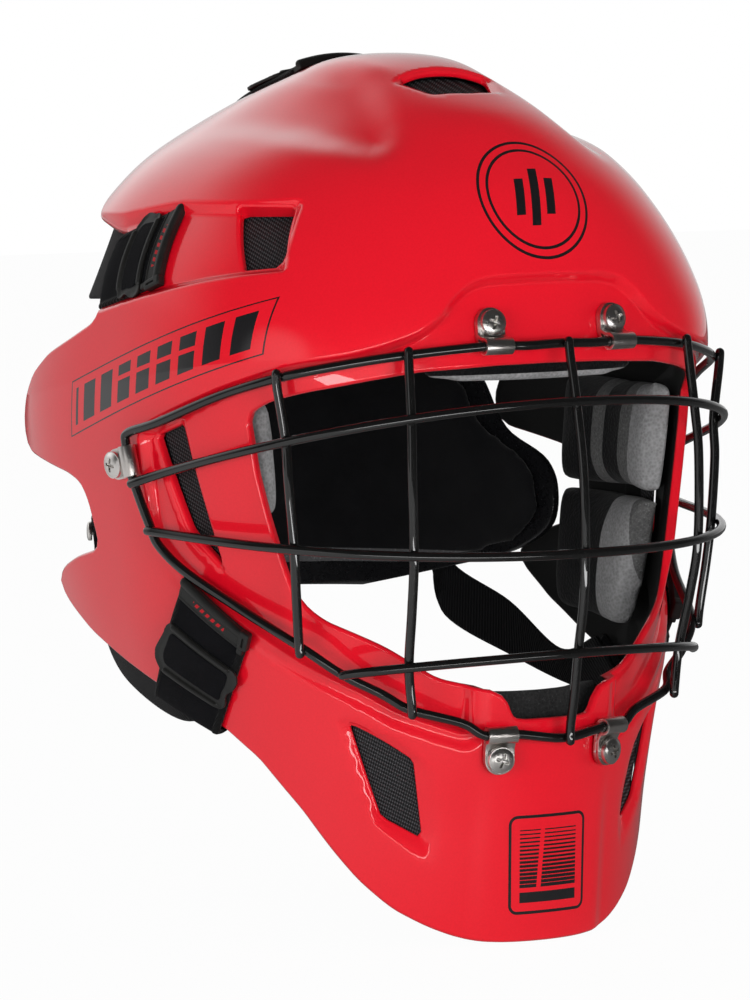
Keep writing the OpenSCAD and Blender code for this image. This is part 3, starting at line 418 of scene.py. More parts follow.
def makeSteel(name, dark, bright, rough):
    steel = Finish(name)
    grain = steel.noise(260, 4)
    stain = steel.noise(900, 2)
    colour = steel.mix(grain, dark, bright)
    return steel.surface(colour, rough + stain * 0.16, {"Specular IOR Level": 0.5}, Metallic=1.0,
                         Normal=steel.bump(stain, 0.00003, 0.3))


clipSteel = makeSteel("darkNickelClip", (0.46, 0.43, 0.41), (0.76, 0.72, 0.69), 0.24)
screwSteel = makeSteel("darkNickelScrew", (0.50, 0.48, 0.46), (0.80, 0.77, 0.74), 0.22)


def makeVentCloth():
    # Diagonal twill of fine black yarn with small holes between the yarns
    cloth = Finish("ventTwill")
    pitch = 0.0019
    a = (cloth.z + cloth.y * 0.5 - cloth.x * 0.5).wave(pitch)
    b = (cloth.z * 0.4 - cloth.y + cloth.x).wave(pitch)
    weave = ((a * b) * 0.5 + 0.5).power(2.5) * (cloth.noise(800, 2) * 0.6 + 0.7)
    dust = cloth.noise(700, 3)
    colour = cloth.mix(weave, (0.0015, 0.0015, 0.002), (0.085, 0.085, 0.09))
    return cloth.surface(colour, 0.62 + dust * 0.2, {"Specular IOR Level": 0.4},
                         Normal=cloth.bump(weave, 0.0003, 0.8))


ventCloth = makeVentCloth()


foamZones = {
    "side": 0.062, "chin": -0.1925, "temple": -0.139, "front": -0.05, "rear": -0.018,
    "strip": (-0.040, -0.027),
    "cheekRear": -0.034, "brow": (-0.0865, -0.03), "templeFront": -0.049, "cheekFront": (-0.053, -0.034)}


def makeSpeckledFoam():
    # Closed-cell foam cut from a block: grey cells with darker and paler specks
    foam = Finish("speckledFoam")
    cells = foam.start.node("ShaderNodeTexVoronoi", inputs={"Vector": foam.place, "Scale": 900})
    speck = foam.noise(1500, 2).soft(0.60, 0.72)
    cloud = foam.noise(60, 3)
    colour = foam.mix(cells, (0.058, 0.058, 0.057), (0.15, 0.15, 0.147))
    colour = foam.mix(cloud * 0.5, colour, (0.05, 0.05, 0.053))
    colour = foam.mix(speck * 0.5, colour, (0.28, 0.28, 0.29))
    # Side pads: upright strips, black at the rear, then grey, black velvet, grey and paler
    # Brow pad: black over a paler edge
    pile = foam.mix(speck, (0.0015, 0.0015, 0.002), (0.012, 0.012, 0.013))
    pale = foam.mix(cells, (0.19, 0.19, 0.192), (0.34, 0.34, 0.345))
    zone = foamZones
    atSide, low = abs(foam.x).above(zone["side"]), foam.z.below(zone["chin"])
    upper = foam.z.above(zone["temple"])
    atBrow = (1 - atSide) * foam.y.below(zone["front"])
    velvet = foam.y.above(zone["rear"]).either(foam.y.between(*zone["strip"])) * upper
    velvet = velvet.either(foam.y.above(zone["cheekRear"]) * (1 - upper))
    strip = velvet * atSide * (1 - low)
    brow = atBrow * foam.z.between(*zone["brow"])
    front = foam.y.below(zone["templeFront"]) * upper
    front = front.either(foam.y.between(*zone["cheekFront"]) * (1 - upper)) * atSide * (1 - low)
    edge = atBrow * foam.z.below(zone["brow"][0]) * (1 - low)
    colour = foam.mix(front.either(edge) * 0.8, colour, pale)
    colour = foam.mix(strip.either(brow), colour, pile)
    colour = foam.mix(low * 0.8, colour, pile)
    height = cells * 0.6 + foam.noise(420, 3) * 0.5
    fixed = {"Specular IOR Level": 0.25, "Sheen Weight": 0.05, "Sheen Roughness": 0.5}
    return foam.surface(colour, 0.78 + cloud * 0.15, fixed, Normal=foam.bump(height, 0.0005, 0.7))


speckledFoam = makeSpeckledFoam()


def makeLoopCloth():
    # Short-pile loop cloth: black, with a faint cool sheen and lint; bound edges show fine ribs
    cloth = Finish("loopCloth")
    pile = cloth.noise(2600, 4, 0.7)
    nap = cloth.noise(130, 3)
    lint = cloth.noise(900, 2).soft(0.70, 0.78)
    bound = cloth.carried("edge").below(2.3)
    rib = ((cloth.x + cloth.y + cloth.z) * 5200).maths("SINE") * 0.5 + 0.5
    colour = cloth.mix(nap, (0.0015, 0.0015, 0.002), (0.005, 0.005, 0.0065))
    colour = cloth.mix(lint * 0.3, colour, (0.05, 0.05, 0.06))
    colour = cloth.mix(bound * 0.8, colour, (0.006, 0.006, 0.006))
    height = pile * (bound * -0.6 + 1) + rib * bound * 0.8 + nap * 0.4
    fixed = {"Specular IOR Level": 0.1, "Sheen Weight": 0.06, "Sheen Roughness": 0.45}
    return cloth.surface(colour, bound * -0.25 + 0.95, fixed, Normal=cloth.bump(height, 0.0003, 0.9))


def strapMark(rubber):
    # Small slanted dashes along the moulded end's ramp; the piece carries its own distances
    along, across = rubber.carried("along"), rubber.carried("across")
    place = ((across + along * 0.5) / 2.6).maths("FRACT") * 2.6
    return within(place, 0.5, 1.9) * within(along, 4.35, 5.75) * within(across, -8.5, 6.5)


def makeStrapRubber():
    # Moulded rubber: near black, matt, with fine mould grain and scuffed high spots
    rubber = Finish("strapRubber")
    grain, cloud = rubber.noise(3200, 3), rubber.noise(160, 4)
    colour = rubber.mix(cloud, (0.006, 0.006, 0.006), (0.014, 0.014, 0.013))
    dash = strapMark(rubber)
    colour = rubber.mix(dash, colour, (0.42, 0.004, 0.01))
    return rubber.surface(colour, cloud * 0.14 + 0.42, {"Specular IOR Level": 0.35},
                          Normal=rubber.bump(grain + cloud, 0.00012, 0.6))


def makePlateGloss():
    # Pressure-moulded black sheet: glossy, a little uneven, with faint rub marks
    plate = Finish("plateGloss")
    wave, rub = plate.noise(26, 2), plate.noise(480, 4, 0.7)
    colour = plate.mix(rub, (0.004, 0.004, 0.005), (0.010, 0.010, 0.011))
    return plate.surface(colour, rub * 0.16 + 0.20, {"Specular IOR Level": 0.5},
                         Normal=plate.bump(wave, 0.0009, 0.5))


def makeLiningCloth():
    # Brushed lining: nearly black, with grey foam showing along the pad's lower edge
    cloth = Finish("liningCloth")
    pile, nap = cloth.noise(2100, 4, 0.7), cloth.noise(90, 3)
    low = cloth.z.below(-0.1655)
    speck = cloth.noise(1500, 2).soft(0.58, 0.7)
    colour = cloth.mix(nap, (0.003, 0.003, 0.0035), (0.008, 0.008, 0.009))
    foam = cloth.mix(speck, (0.085, 0.085, 0.088), (0.19, 0.19, 0.2))
    colour = cloth.mix(low, colour, foam)
    return cloth.surface(colour, 0.94, {"Specular IOR Level": 0.2, "Sheen Weight": 0.1,
                                        "Sheen Roughness": 0.5},
                         Normal=cloth.bump(pile + nap, 0.0003, 0.8))


def makeWebbing():
    # Woven elastic: ribs across its length and a flat selvedge
    band = Finish("webbing")
    rib = band.carried("along").wave(0.0014) * 0.5 + 0.5
    yarn = band.noise(2400, 3)
    colour = band.mix(rib * 0.7 + yarn * 0.3, (0.002, 0.002, 0.0025), (0.010, 0.010, 0.011))
    return band.surface(colour, 0.85, {"Specular IOR Level": 0.15, "Sheen Weight": 0.05},
                        Normal=band.bump(rib + yarn * 0.4, 0.0003, 0.8))


loopCloth, strapRubber, plateGloss = makeLoopCloth(), makeStrapRubber(), makePlateGloss()
liningCloth, webbing = makeLiningCloth(), makeWebbing()


def makeHookTape():
    # Hook tape: rows of fine stiff hooks on a black woven ground
    tape = Finish("hookTape")
    rows = (tape.y + tape.z).wave(0.0016) * 0.5 + 0.5
    hooks = tape.noise(1900, 2) * rows
    colour = tape.mix(hooks, (0.002, 0.002, 0.002), (0.016, 0.016, 0.017))
    return tape.surface(colour, 0.75 - hooks * 0.2, {"Specular IOR Level": 0.25},
                        Normal=tape.bump(hooks, 0.0005, 0.9))


def recoat(node, material):
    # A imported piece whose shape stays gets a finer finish
    for slot in frame["nodes"][node].material_slots:
        slot.material = material


recoat("hook_patches", makeHookTape())
recoat("clip_nuts", clipSteel)


# The shell's form
# Rings: height, half width, front, rear, widest place, squareness in front and behind
shellForm = {
    "rings": [
        (25.5, 0.1, -15.1, -14.9, -15, 2, 2), (22.5, 22, -36, 8, -14, 2, 2), (16, 36, -54, 26, -13, 2, 2),
        (4, 53, -79, 60, -11, 2, 2), (-12, 80, -95, 79, -6, 2.05, 2.05), (-28, 97, -105, 86, -2, 2.15, 2.15),
        (-50, 110, -112, 96, 0, 2.35, 2.4), (-74, 114, -116, 104, 0, 2.6, 2.9),
        (-105, 115, -117, 108, 0, 2.4, 3.3),
        (-140, 112, -117, 106, 0, 2.25, 3.2), (-175, 107, -117, 100, 0, 2.15, 2.9),
        (-205, 100, -116, 90, 0, 2.05, 2.5),
        (-235, 95, -114, 78, 0, 2, 2.2), (-262, 92, -112, 60, 0, 2, 2), (-290, 90, -110, 45, 0, 2, 2)],
    "wall": 4.2, "step": 4.5, "riser": 4.4, "lip": 1.4, "rows": 12, "sides": 280,
    "scoop": 3.4, "scoopRamp": 22, "chinFlat": 1.3, "jawBevel": 1.3, "innerFoot": 3.2,
    "flares": {"cheek": (6.7, 1.2), "jaw": (3.2, 1.4), "crown": (3, 1.2)}}  # depth at the vent, and fillet
scoopOutline = [(17, -44), (22, -58), (27, -72), (33, -80), (41, -84), (49, -83.5), (57, -79), (63, -70),
                (68.5, -55),
                (72.5, -30), (73, 8), (66, 50), (46, 60), (24, 45), (14, 5), (14, -25)]
ringTable = np.array(shellForm["rings"], float)
ringTable = np.vstack([2 * ringTable[0] - ringTable[1], ringTable, 2 * ringTable[-1] - ringTable[-2]])
lastRing = len(shellForm["rings"]) - 1


def ringAt(v):
    v = np.asarray(v, float)
    i = np.clip(np.floor(v).astype(int), 0, lastRing - 1)
    t = (v - i)[:, None]
    a, b, c, d = (ringTable[i + k] for k in range(4))
    square, cube = (2 * a - 5 * b + 4 * c - d) * t * t, (3 * b - 3 * c + d - a) * t ** 3
    ring = 0.5 * (2 * b + (c - a) * t + square + cube)
    top = v < 1  # the crown is a round dome
    if top.any():
        first, slope = ringTable[2], (ringTable[3] - ringTable[1]) / 2
        s = v[top]
        reach = np.array([first[1], first[4] - first[2], first[3] - first[4]])
        run = np.array([slope[1], slope[4] - slope[2], slope[3] - slope[4]])
        q = (2 * reach - run) * s[:, None] + (run - reach) * s[:, None] ** 2
        middle = first[4] - slope[4] * (1 - s)
        half, front, rear = (np.maximum(q[:, k], 0.01) for k in range(3))
        height = first[0] - slope[0] / 2 * (1 - s * s)
        ring[top] = np.stack([height, half, middle - front, middle + rear, middle, s * 0 + 2, s * 0 + 2], 1)
    return ring


def quarter(r, aheadHere):
    # How far a ring reaches forward or back, and how square it is there
    reach = np.where(aheadHere, r[:, 4] - r[:, 2], r[:, 3] - r[:, 4])
    return reach, np.where(aheadHere, r[:, 5], r[:, 6])


def skinPoint(v, a):
    r = ringAt(v)
    reach, square = quarter(r, np.cos(a) > 0)
    wide, long = np.abs(np.sin(a)) / r[:, 1], np.abs(np.cos(a)) / reach
    radius = (wide ** square + long ** square) ** (-1 / square)
    return np.stack([radius * np.sin(a), r[:, 4] - radius * np.cos(a), r[:, 0]], 1)


def crossed(down, across):
    n = np.cross(down, across)
    return n / np.maximum(np.linalg.norm(n, axis=1), 1e-9)[:, None]


def skinNormal(v, a):
    w = np.maximum(v, 0.05)
    dv, da = 0.04, 0.0175
    n = crossed(skinPoint(w + dv, a) - skinPoint(w - dv, a), skinPoint(w, a + da) - skinPoint(w, a - da))
    share = np.clip(v / 0.3, 0, 1)[:, None]
    n = n * share + np.array([0, 0, 1.0]) * (1 - share)
    return n / np.linalg.norm(n, axis=1)[:, None]


def skin(v, a, depth=0):
    return skinPoint(v, a) - np.reshape(depth, (-1, 1)) * skinNormal(v, a)


# Places on the skin by what is known of them: depth and height, width and height, or width and depth
def halved(count, beyond):
    # The ring number where a test on the ring stops being true
    low, high = np.zeros(count), np.full(count, float(lastRing))
    for _ in range(20):
        mid = (low + high) / 2
        further = beyond(ringAt(mid))
        low, high = np.where(further, mid, low), np.where(further, high, mid)
    return (low + high) / 2


def ringHeight(z):
    return halved(len(z), lambda r: r[:, 0] > z)


def partner(share, square):
    return np.maximum(0, 1 - np.minimum(1, np.abs(share)) ** square) ** (1 / square)


def sidePlace(y, z):
    v = ringHeight(z)
    r = ringAt(v)
    reach, square = quarter(r, y < r[:, 4])
    return v, np.arctan2(r[:, 1] * partner((y - r[:, 4]) / reach, square), r[:, 4] - y)


def frontPlace(x, z):
    v = ringHeight(z)
    r = ringAt(v)
    return v, np.arctan2(x, (r[:, 4] - r[:, 2]) * partner(x / r[:, 1], r[:, 5]))


def crownPlace(x, y):
    def outside(r):
        reach, square = quarter(r, y < r[:, 4])
        return (np.abs(x) / r[:, 1]) ** square + (np.abs(y - r[:, 4]) / reach) ** square >= 1
    v = halved(len(x), outside)
    return v, np.arctan2(x, ringAt(v)[:, 4] - y)


def onSkin(place):
    def at(p, q, depth=0):
        p, q, depth = np.broadcast_arrays(*(np.atleast_1d(np.asarray(k, float)) for k in (p, q, depth)))
        return skin(*place(p, q), depth)
    return at


onSide, onFront, onCrown = onSkin(sidePlace), onSkin(frontPlace), onSkin(crownPlace)


# Outlines on the shell
def rounded(outline, radius, closed=True):
    # Each corner gives way to a short arc
    points = [np.array(p, float) for p in outline]
    made = []
    for k, p in enumerate(points):
        before, after = points[k - 1] - p, points[(k + 1) % len(points)] - p
        if not closed and k in (0, len(points) - 1):
            made.append(p)
            continue
        reach = min(radius, 0.45 * np.linalg.norm(before), 0.45 * np.linalg.norm(after))
        a = p + before / np.linalg.norm(before) * reach
        b = p + after / np.linalg.norm(after) * reach
        made += [(1 - t) ** 2 * a + 2 * t * (1 - t) * p + t * t * b for t in (0, 0.25, 0.5, 0.75, 1)]
    return np.array(made)


def mirrored(half):
    return list(half) + [(-x, z) for x, z in reversed(half) if x != 0]


def distance(px, py, outline):
    # Signed distance to a closed outline, below zero inside it
    best = np.full(px.shape, 1e9)
    inside = np.zeros(px.shape, bool)
    for (ax, ay), (bx, by) in zip(outline, np.roll(outline, -1, 0)):
        ex, ey, qx, qy = bx - ax, by - ay, px - ax, py - ay
        t = np.clip((qx * ex + qy * ey) / max(ex * ex + ey * ey, 1e-12), 0, 1)
        best = np.minimum(best, (qx - t * ex) ** 2 + (qy - t * ey) ** 2)
        spans = (ay > py) != (by > py)
        if by != ay:
            inside ^= spans & (px < ex * (py - ay) / (by - ay) + ax)
    return np.where(inside, -1, 1) * np.sqrt(best)


roundTurn = 112.0  # millimetres of skin per radian round the head
cuts = {
    "rear": [(-160, 60), (72, 60), (72, -4), (61, -15), (51, -24), (43, -30), (34, -34), (20, -35.5),
             (9.5, -36),
             (7.5, -38), (7.5, -66.5), (11, -70.5), (25, -76.5), (42, -83), (56, -91), (63, -99),
             (66.5, -108),
             (65.5, -116), (60, -120.5), (46, -123), (28, -126), (20, -129), (16, -135), (12, -149),
             (14, -152.5),
             (28, -156), (40, -160.5), (46, -165), (46, -169), (41, -174), (26, -183.5), (6, -192.5),
             (-13, -200),
             (-42, -213), (-54, -223), (-67, -240.5), (-75, -254), (-82, -265), (-90, -275), (-98, -282),
             (-104, -286.5), (-109, -288), (-160, -288)],
    "face": mirrored([(0, -82.5), (23, -82.8), (53, -84.5), (70, -87.5), (89, -92), (97.5, -95.5),
                      (101.5, -100.5),
                      (98.5, -120), (95, -135), (91.5, -148), (87.5, -162), (84.5, -168), (79, -173.5),
                      (62, -182),
                      (44, -193.5), (30.5, -196.3), (24.5, -197), (20, -200), (17, -207), (13.5, -208)]),
    "temple": [(-45, -27), (-65.5, -26.5), (-73, -43.5), (-71.5, -46.5), (-60, -48)],
    "cheek": [(-25.5, -109.5), (-40, -104.5), (-51.5, -155), (-38.5, -142.5)],
    "cheekFlare": [(-22, -110), (-23.5, -105.5), (-41.5, -100.5), (-54.5, -159.5), (-51, -160),
                   (-34.5, -144.5)],
    "jaw": [(68, -209), (50.5, -222), (46.5, -249), (57.5, -242)],
    "jawFlare": [(72.5, -205.5), (54, -213), (43, -224), (39, -238), (40, -257), (44, -261), (60, -244.5)],
    "crown": [(-19, -47), (-9, -45.5), (9, -45.5), (19, -47), (13, -59), (0, -61), (-13, -59)],
    "crownFlare": [(-24, -46), (-10, -43.5), (10, -43.5), (24, -46), (17, -63), (0, -66), (-17, -63)],
    "channel": [(-68, -23.5), (-45, -25), (-20, -25.5), (12, -31), (60, -33), (60, -72), (12, -69),
                (-14, -62.5),
                (-48, -54.5), (-62, -52), (-77, -50)]}
corner = {"rear": 3, "face": 4, "temple": 1.2, "cheek": 1.2, "cheekFlare": 3, "jaw": 1.2, "jawFlare": 3,
          "crown": 1.5,
          "crownFlare": 4, "channel": 3}
outlines = {name: rounded(points, corner[name]) for name, points in cuts.items()}
outlines["scoop"] = rounded(scoopOutline, 6)
panelFront = [(0, -50), (24, -50.3), (33, -52), (41, -57.5), (48, -65), (55, -69.5), (66, -73.5), (77, -76.8)]
panelSide = [(-86, -79.8), (-60, -88.8), (-35, -99.3), (-23, -104.5), (-19, -109), (-21, -140), (-23.5, -148),
             (-32, -156.5), (-60, -177.5), (-76, -189.5)]
panelLow = [(66, -199), (56, -205.5), (42, -211), (34, -213.5), (31, -212), (31, -185), (0, -185)]


def turned(points, place):
    points = np.array(points, float)
    runs = [np.linspace(a, b, 6, endpoint=False) for a, b in zip(points, points[1:])]
    fine = np.concatenate(runs + [points[-1:]])
    return [(angle * roundTurn, z) for angle, z in zip(place(fine[:, 0], fine[:, 1])[1], fine[:, 1])]


halfPanel = turned(rounded(panelFront, 3, False), frontPlace)
halfPanel += turned(rounded(panelSide, 3, False), sidePlace)
halfPanel += turned(rounded(panelLow, 2, False), frontPlace)
outlines["panel"] = np.array(mirrored(halfPanel))


def smoothStep(t):
    t = np.clip(t, 0, 1)
    return t * t * t * (t * (6 * t - 15) + 10)


def riserStep(t):
    # A straight ramp between two short fillets
    t = np.clip(t, 0, 1)
    start, end = t * t / 0.42, 1 - (1 - t) ** 2 / 0.42
    return np.where(t < 0.3, start, np.where(t > 0.7, end, (t - 0.15) / 0.7))


def softest(a, b, reach):
    # The larger of two depths, with a fillet where they meet
    h = np.maximum(reach - np.abs(a - b), 0) / reach
    return np.maximum(a, b) + h * h * reach / 4


def fields(v, a):
    # Signed distances that shape the skin, at places on it
    p = skinPoint(v, a)
    x, y, z = np.abs(p[:, 0]), p[:, 1], p[:, 2]
    u = np.abs((a + np.pi) % (2 * np.pi) - np.pi) * roundTurn
    side, front, far = x > 50, y < -20, 1e3
    low, top, cheekHere = front & (z < -195), front & (z > 0), x > 80
    plans = {"panel": (y < 30, u, z), "channel": (side & (z > -90), y, z), "face": (front, x, z),
             "temple": (side & (z > -60), y, z), "cheek": (cheekHere, y, z), "cheekFlare": (cheekHere, y, z),
             "jaw": (low, x, z), "jawFlare": (low, x, z), "crown": (top, p[:, 0], y),
             "crownFlare": (top, p[:, 0], y)}
    made = {name: np.where(here, distance(q, w, outlines[name]), far) for name, (here, q, w) in plans.items()}
    made["step"] = np.minimum(made["panel"], made["channel"])
    made["rear"] = -distance(y, z, outlines["rear"])
    return made, p


def flared(f, name, depth):
    # From nothing at the flare's outline down to a depth at the vent's edge
    out, hole = np.maximum(-f[name + "Flare"], 0), np.maximum(f[name], 0)
    return depth * out / np.maximum(out + hole, 1e-6)


def hollow(p):
    # Soft sculpting of the crown, the jaw and the chin, as depths under the plain skin
    x, y, z = np.abs(p[:, 0]), p[:, 1], p[:, 2]
    form = shellForm
    inside = -distance(x, y, outlines["scoop"])
    fade = smoothStep((30 - y) / 75) * smoothStep((z + 45) / 20)
    scoop = form["scoop"] * smoothStep(inside / form["scoopRamp"])
    chin = smoothStep((x - 23) / 8.5) * smoothStep((-218 - z) / 35) * smoothStep((80 - x) / 40)
    chin = form["chinFlat"] * chin
    return np.where(z > -60, scoop * fade, 0) + np.where((y < -50) & (z < -200), chin, 0)


def depths(v, a):
    f, p = fields(v, a)
    form, sunk = shellForm, hollow(p)
    outer = form["step"] * riserStep(-f["step"] / form["riser"])
    for name, (deep, fillet) in form["flares"].items():
        outer = softest(outer, flared(f, name, deep), fillet)
    bevel = form["jawBevel"] * (1 - smoothStep((f["panel"] - 0.5) / 5.5)) * smoothStep((-150 - p[:, 2]) / 25)
    foot = smoothStep((form["innerFoot"] - f["step"]) / form["innerFoot"])
    inner = form["wall"] + form["step"] * foot + sunk
    return outer + sunk + bevel, inner, f, p


def cutField(f):
    least = f["rear"]
    for name in ("face", "temple", "cheek", "jaw", "crown"):
        least = np.minimum(least, f[name])
    return least


def surfaces(v, a):
    outer, inner, _, p = depths(v, a)
    n = skinNormal(v, a)
    return p - outer[:, None] * n, p - inner[:, None] * n


def trueNormals(v, a):
    w = np.maximum(v, 0.06)
    da, dv = 0.004 / np.clip(w, 0.2, 1), 0.012
    up, down = surfaces(w - dv, a), surfaces(w + dv, a)
    right, left = surfaces(w, a + da), surfaces(w, a - da)
    return [crossed(down[k] - up[k], right[k] - left[k]) for k in (0, 1)]


def edgeDistance(v, a):
    # The cut field in real millimetres along the skin
    def at(v, a):
        f, p = fields(v, a)
        return cutField(f), p
    here, p = at(v, a)
    dv, da = 0.02, 0.004
    w = np.maximum(v, 0.05)
    (fu, pu), (fd, pd) = at(w - dv, a), at(w + dv, a)
    (fl, pl), (fr, pr) = at(w, a - da), at(w, a + da)
    ev, ea, gv, ga = pd - pu, pr - pl, fd - fu, fr - fl
    vv, aa, va = (ev * ev).sum(1), (ea * ea).sum(1), (ev * ea).sum(1)
    det = np.maximum(vv * aa - va * va, 1e-12)
    cv, ca = (gv * aa - ga * va) / det, (ga * vv - gv * va) / det
    slope = np.linalg.norm(cv[:, None] * ev + ca[:, None] * ea, axis=1)
    return here / np.clip(slope, 0.4, 1)


# The shell's mesh: a fine grid, cut along its feature lines, with rolled edges
def faceEdges(faces):
    return np.concatenate([faces[:, [0, 1]], faces[:, [1, 2]], faces[:, [2, 0]]])


class Skin:
    # A triangle sheet over ring number and angle
    def __init__(self, rows, sides):
        v = [0.0] + [k / rows for k in range(1, lastRing * rows + 1)]
        a = np.arange(sides) * 2 * np.pi / sides
        self.v = np.concatenate([[0.0]] + [np.full(sides, q) for q in v[1:]])
        self.a = np.concatenate([[0.0]] + [a for _ in v[1:]])
        faces = [(0, 1 + j, 1 + (j + 1) % sides) for j in range(sides)]
        for i in range(len(v) - 2):
            for j in range(sides):
                p, q = 1 + i * sides + j, 1 + i * sides + (j + 1) % sides
                r, s = q + sides, p + sides
                faces += [(p, s, q), (q, s, r)] if (i + j) % 2 else [(p, s, r), (p, r, q)]
        self.faces = np.array(faces)
        self.held = np.zeros(len(self.v), bool)
        self.held[0] = True

    def between(self, i, j, t):
        # Places part of the way from one vertex to another, the short way round
        da = (self.a[j] - self.a[i] + np.pi) % (2 * np.pi) - np.pi
        ai = np.where(i == 0, self.a[j], self.a[i])
        da = np.where((i == 0) | (j == 0), 0, da)
        return self.v[i] + t * (self.v[j] - self.v[i]), ai + t * da

    def apart(self, i, j):
        # How far apart two vertices are, in rings and turn alike
        return abs(self.v[i] - self.v[j]) + abs((self.a[i] - self.a[j] + np.pi) % (2 * np.pi) - np.pi) * 3

    def cut(self, field, level):
        # Puts a row of vertices on the line where the field has this value
        g = field(self.v, self.a) - level
        i, j = np.unique(np.sort(faceEdges(self.faces), axis=1), axis=0).T
        over = g[i] * g[j] < 0
        i, j = i[over], j[over]
        t = g[i] / (g[i] - g[j])
        for near, first, second, share in ((t < 0.32, i, j, t), (t > 0.68, j, i, 1 - t)):
            near = near & ~self.held[first]
            order = np.argsort(-share[near])
            f, s, q = first[near][order], second[near][order], share[near][order]
            v, a = self.between(f, s, q)
            self.v[f], self.a[f] = v, a % (2 * np.pi)
            g[f] = 0
            self.held[f] = True
        g[self.held & (np.abs(g) < 0.05)] = 0
        over = g[i] * g[j] < 0
        i, j = i[over], j[over]
        t = g[i] / (g[i] - g[j])
        v, a = self.between(i, j, t)
        start = len(self.v)
        new = {(p, q): start + k for k, (p, q) in enumerate(zip(i.tolist(), j.tolist()))}
        self.v, self.a = np.concatenate([self.v, v]), np.concatenate([self.a, a % (2 * np.pi)])
        self.held = np.concatenate([self.held, np.ones(len(v), bool)])
        sign = np.sign(np.concatenate([g, np.zeros(len(v))]))
        crossing = (sign[self.faces].max(1) > 0) & (sign[self.faces].min(1) < 0)
        kept, made = self.faces[~crossing], []
        for face in self.faces[crossing].tolist():
            loop = []
            for k in range(3):
                p, q = face[k], face[(k + 1) % 3]
                loop.append(p)
                if sign[p] * sign[q] < 0:
                    loop.append(new[(min(p, q), max(p, q))])
            zeros = [k for k, p in enumerate(loop) if sign[p] == 0]
            k = zeros[0]
            loop = loop[k:] + loop[:k]
            # The other vertex on the line closes the first polygon
            m = next(n for n in range(2, len(loop) - 1) if sign[loop[n]] == 0)
            for part in (loop[:m + 1], [loop[0]] + loop[m:]):
                if len(part) < 4:
                    made.append(part)
                elif self.apart(part[0], part[2]) <= self.apart(part[1], part[3]):
                    made += [part[:3], [part[0], part[2], part[3]]]
                else:
                    made += [part[1:], [part[0], part[1], part[3]]]
        self.faces = np.concatenate([kept, np.array(made, int).reshape(-1, 3)])
        return sign

    def keep(self, inside):
        self.faces = self.faces[inside]
        used = np.unique(self.faces)
        back = np.full(len(self.v), -1)
        back[used] = np.arange(len(used))
        self.faces, self.v, self.a, self.held = back[self.faces], self.v[used], self.a[used], self.held[used]


def buildShell():
    sheet = Skin(shellForm["rows"], shellForm["sides"])
    sign = sheet.cut(edgeDistance, shellForm["lip"])
    sheet.keep((sign[sheet.faces].min(1) >= 0) & (sign[sheet.faces].max(1) > 0))
    lines = [("step", share * shellForm["riser"]) for share in (0, -0.3, -0.7, -1)]
    lines += [("panel", far) for far in (0.5, 3.2, 6.0)]
    lines += [(name, 0) for name in ("cheekFlare", "jawFlare", "crownFlare")]
    for name, level in lines:
        sheet.cut(lambda v, a: fields(v, a)[0][name], level)
    outer, inner = surfaces(sheet.v, sheet.a)
    outNormal, inNormal = trueNormals(sheet.v, sheet.a)
    base = skinNormal(sheet.v, sheet.a)
    faces, count = sheet.faces, len(sheet.v)
    # Open edges, each in the direction of its face
    pairs = [tuple(pair) for pair in faceEdges(faces).tolist()]
    known = set(pairs)
    rim = np.array([(p, q) for p, q in pairs if (q, p) not in known])
    onRim = np.unique(rim)
    slotOf = {p: k for k, p in enumerate(onRim.tolist())}
    away = np.zeros((count, 3))
    for p, q in rim.tolist():
        step = np.cross(outer[q] - outer[p], base[p])
        away[p] += step
        away[q] += step
    away = away[onRim]
    away -= (away * base[onRim]).sum(1)[:, None] * base[onRim]
    away /= np.maximum(np.linalg.norm(away, axis=1), 1e-9)[:, None]
    thick = np.linalg.norm(outer[onRim] - inner[onRim], axis=1)
    r = np.minimum(shellForm["lip"], thick * 0.45)[:, None]
    points, normals, rows = [outer, inner], [outNormal, -inNormal], []
    start = 2 * count
    turns = [math.radians(q) for q in (22, 45, 67, 90)]
    n = base[onRim]
    for face, sign in ((outer, 1), (inner, -1)):
        for q in turns if sign > 0 else turns[::-1]:
            points.append(face[onRim] + away * r * math.sin(q) - sign * n * r * (1 - math.cos(q)))
            normals.append(away * math.sin(q) + sign * n * math.cos(q))
            rows.append(start)
            start += len(onRim)
    allFaces = faces.tolist() + (faces[:, ::-1] + count).tolist()
    for p, q in rim.tolist():
        a, b = slotOf[p], slotOf[q]
        left = [p] + [row + a for row in rows] + [p + count]
        right = [q] + [row + b for row in rows] + [q + count]
        allFaces += [(right[k], left[k], left[k + 1], right[k + 1]) for k in range(len(left) - 1)]
    shell = meshPiece("helmetShell", np.concatenate(points), allFaces, shellPaint, np.concatenate(normals))
    inside = np.concatenate([np.zeros(count), np.ones(count), np.zeros(6 * len(onRim)),
                             np.ones(2 * len(onRim))])
    carry(shell, "inside", inside)
    return shell


shell = buildShell()
dress(shell, "shell", "shell")
print("shell modelled:", len(shell.data.polygons), "faces")


# Cage: coated wires, each a smooth tube with rounded ends
def through(points, steps, closed=False):
    # A smooth line through points
    p = np.array(points, float)
    ends = (p[-1:], p[:2]) if closed else (2 * p[:1] - p[1:2], 2 * p[-1:] - p[-2:-1])
    p = np.concatenate([ends[0], p, ends[1]])
    made = []
    for a, b, c, d in zip(p, p[1:], p[2:], p[3:]):
        for t in np.linspace(0, 1, steps, endpoint=False):
            square, cube = (2 * a - 5 * b + 4 * c - d) * t * t, (3 * b - 3 * c + d - a) * t ** 3
            made.append(0.5 * (2 * b + (c - a) * t + square + cube))
    if not closed:
        made.append(p[-2])
    return np.array(made)


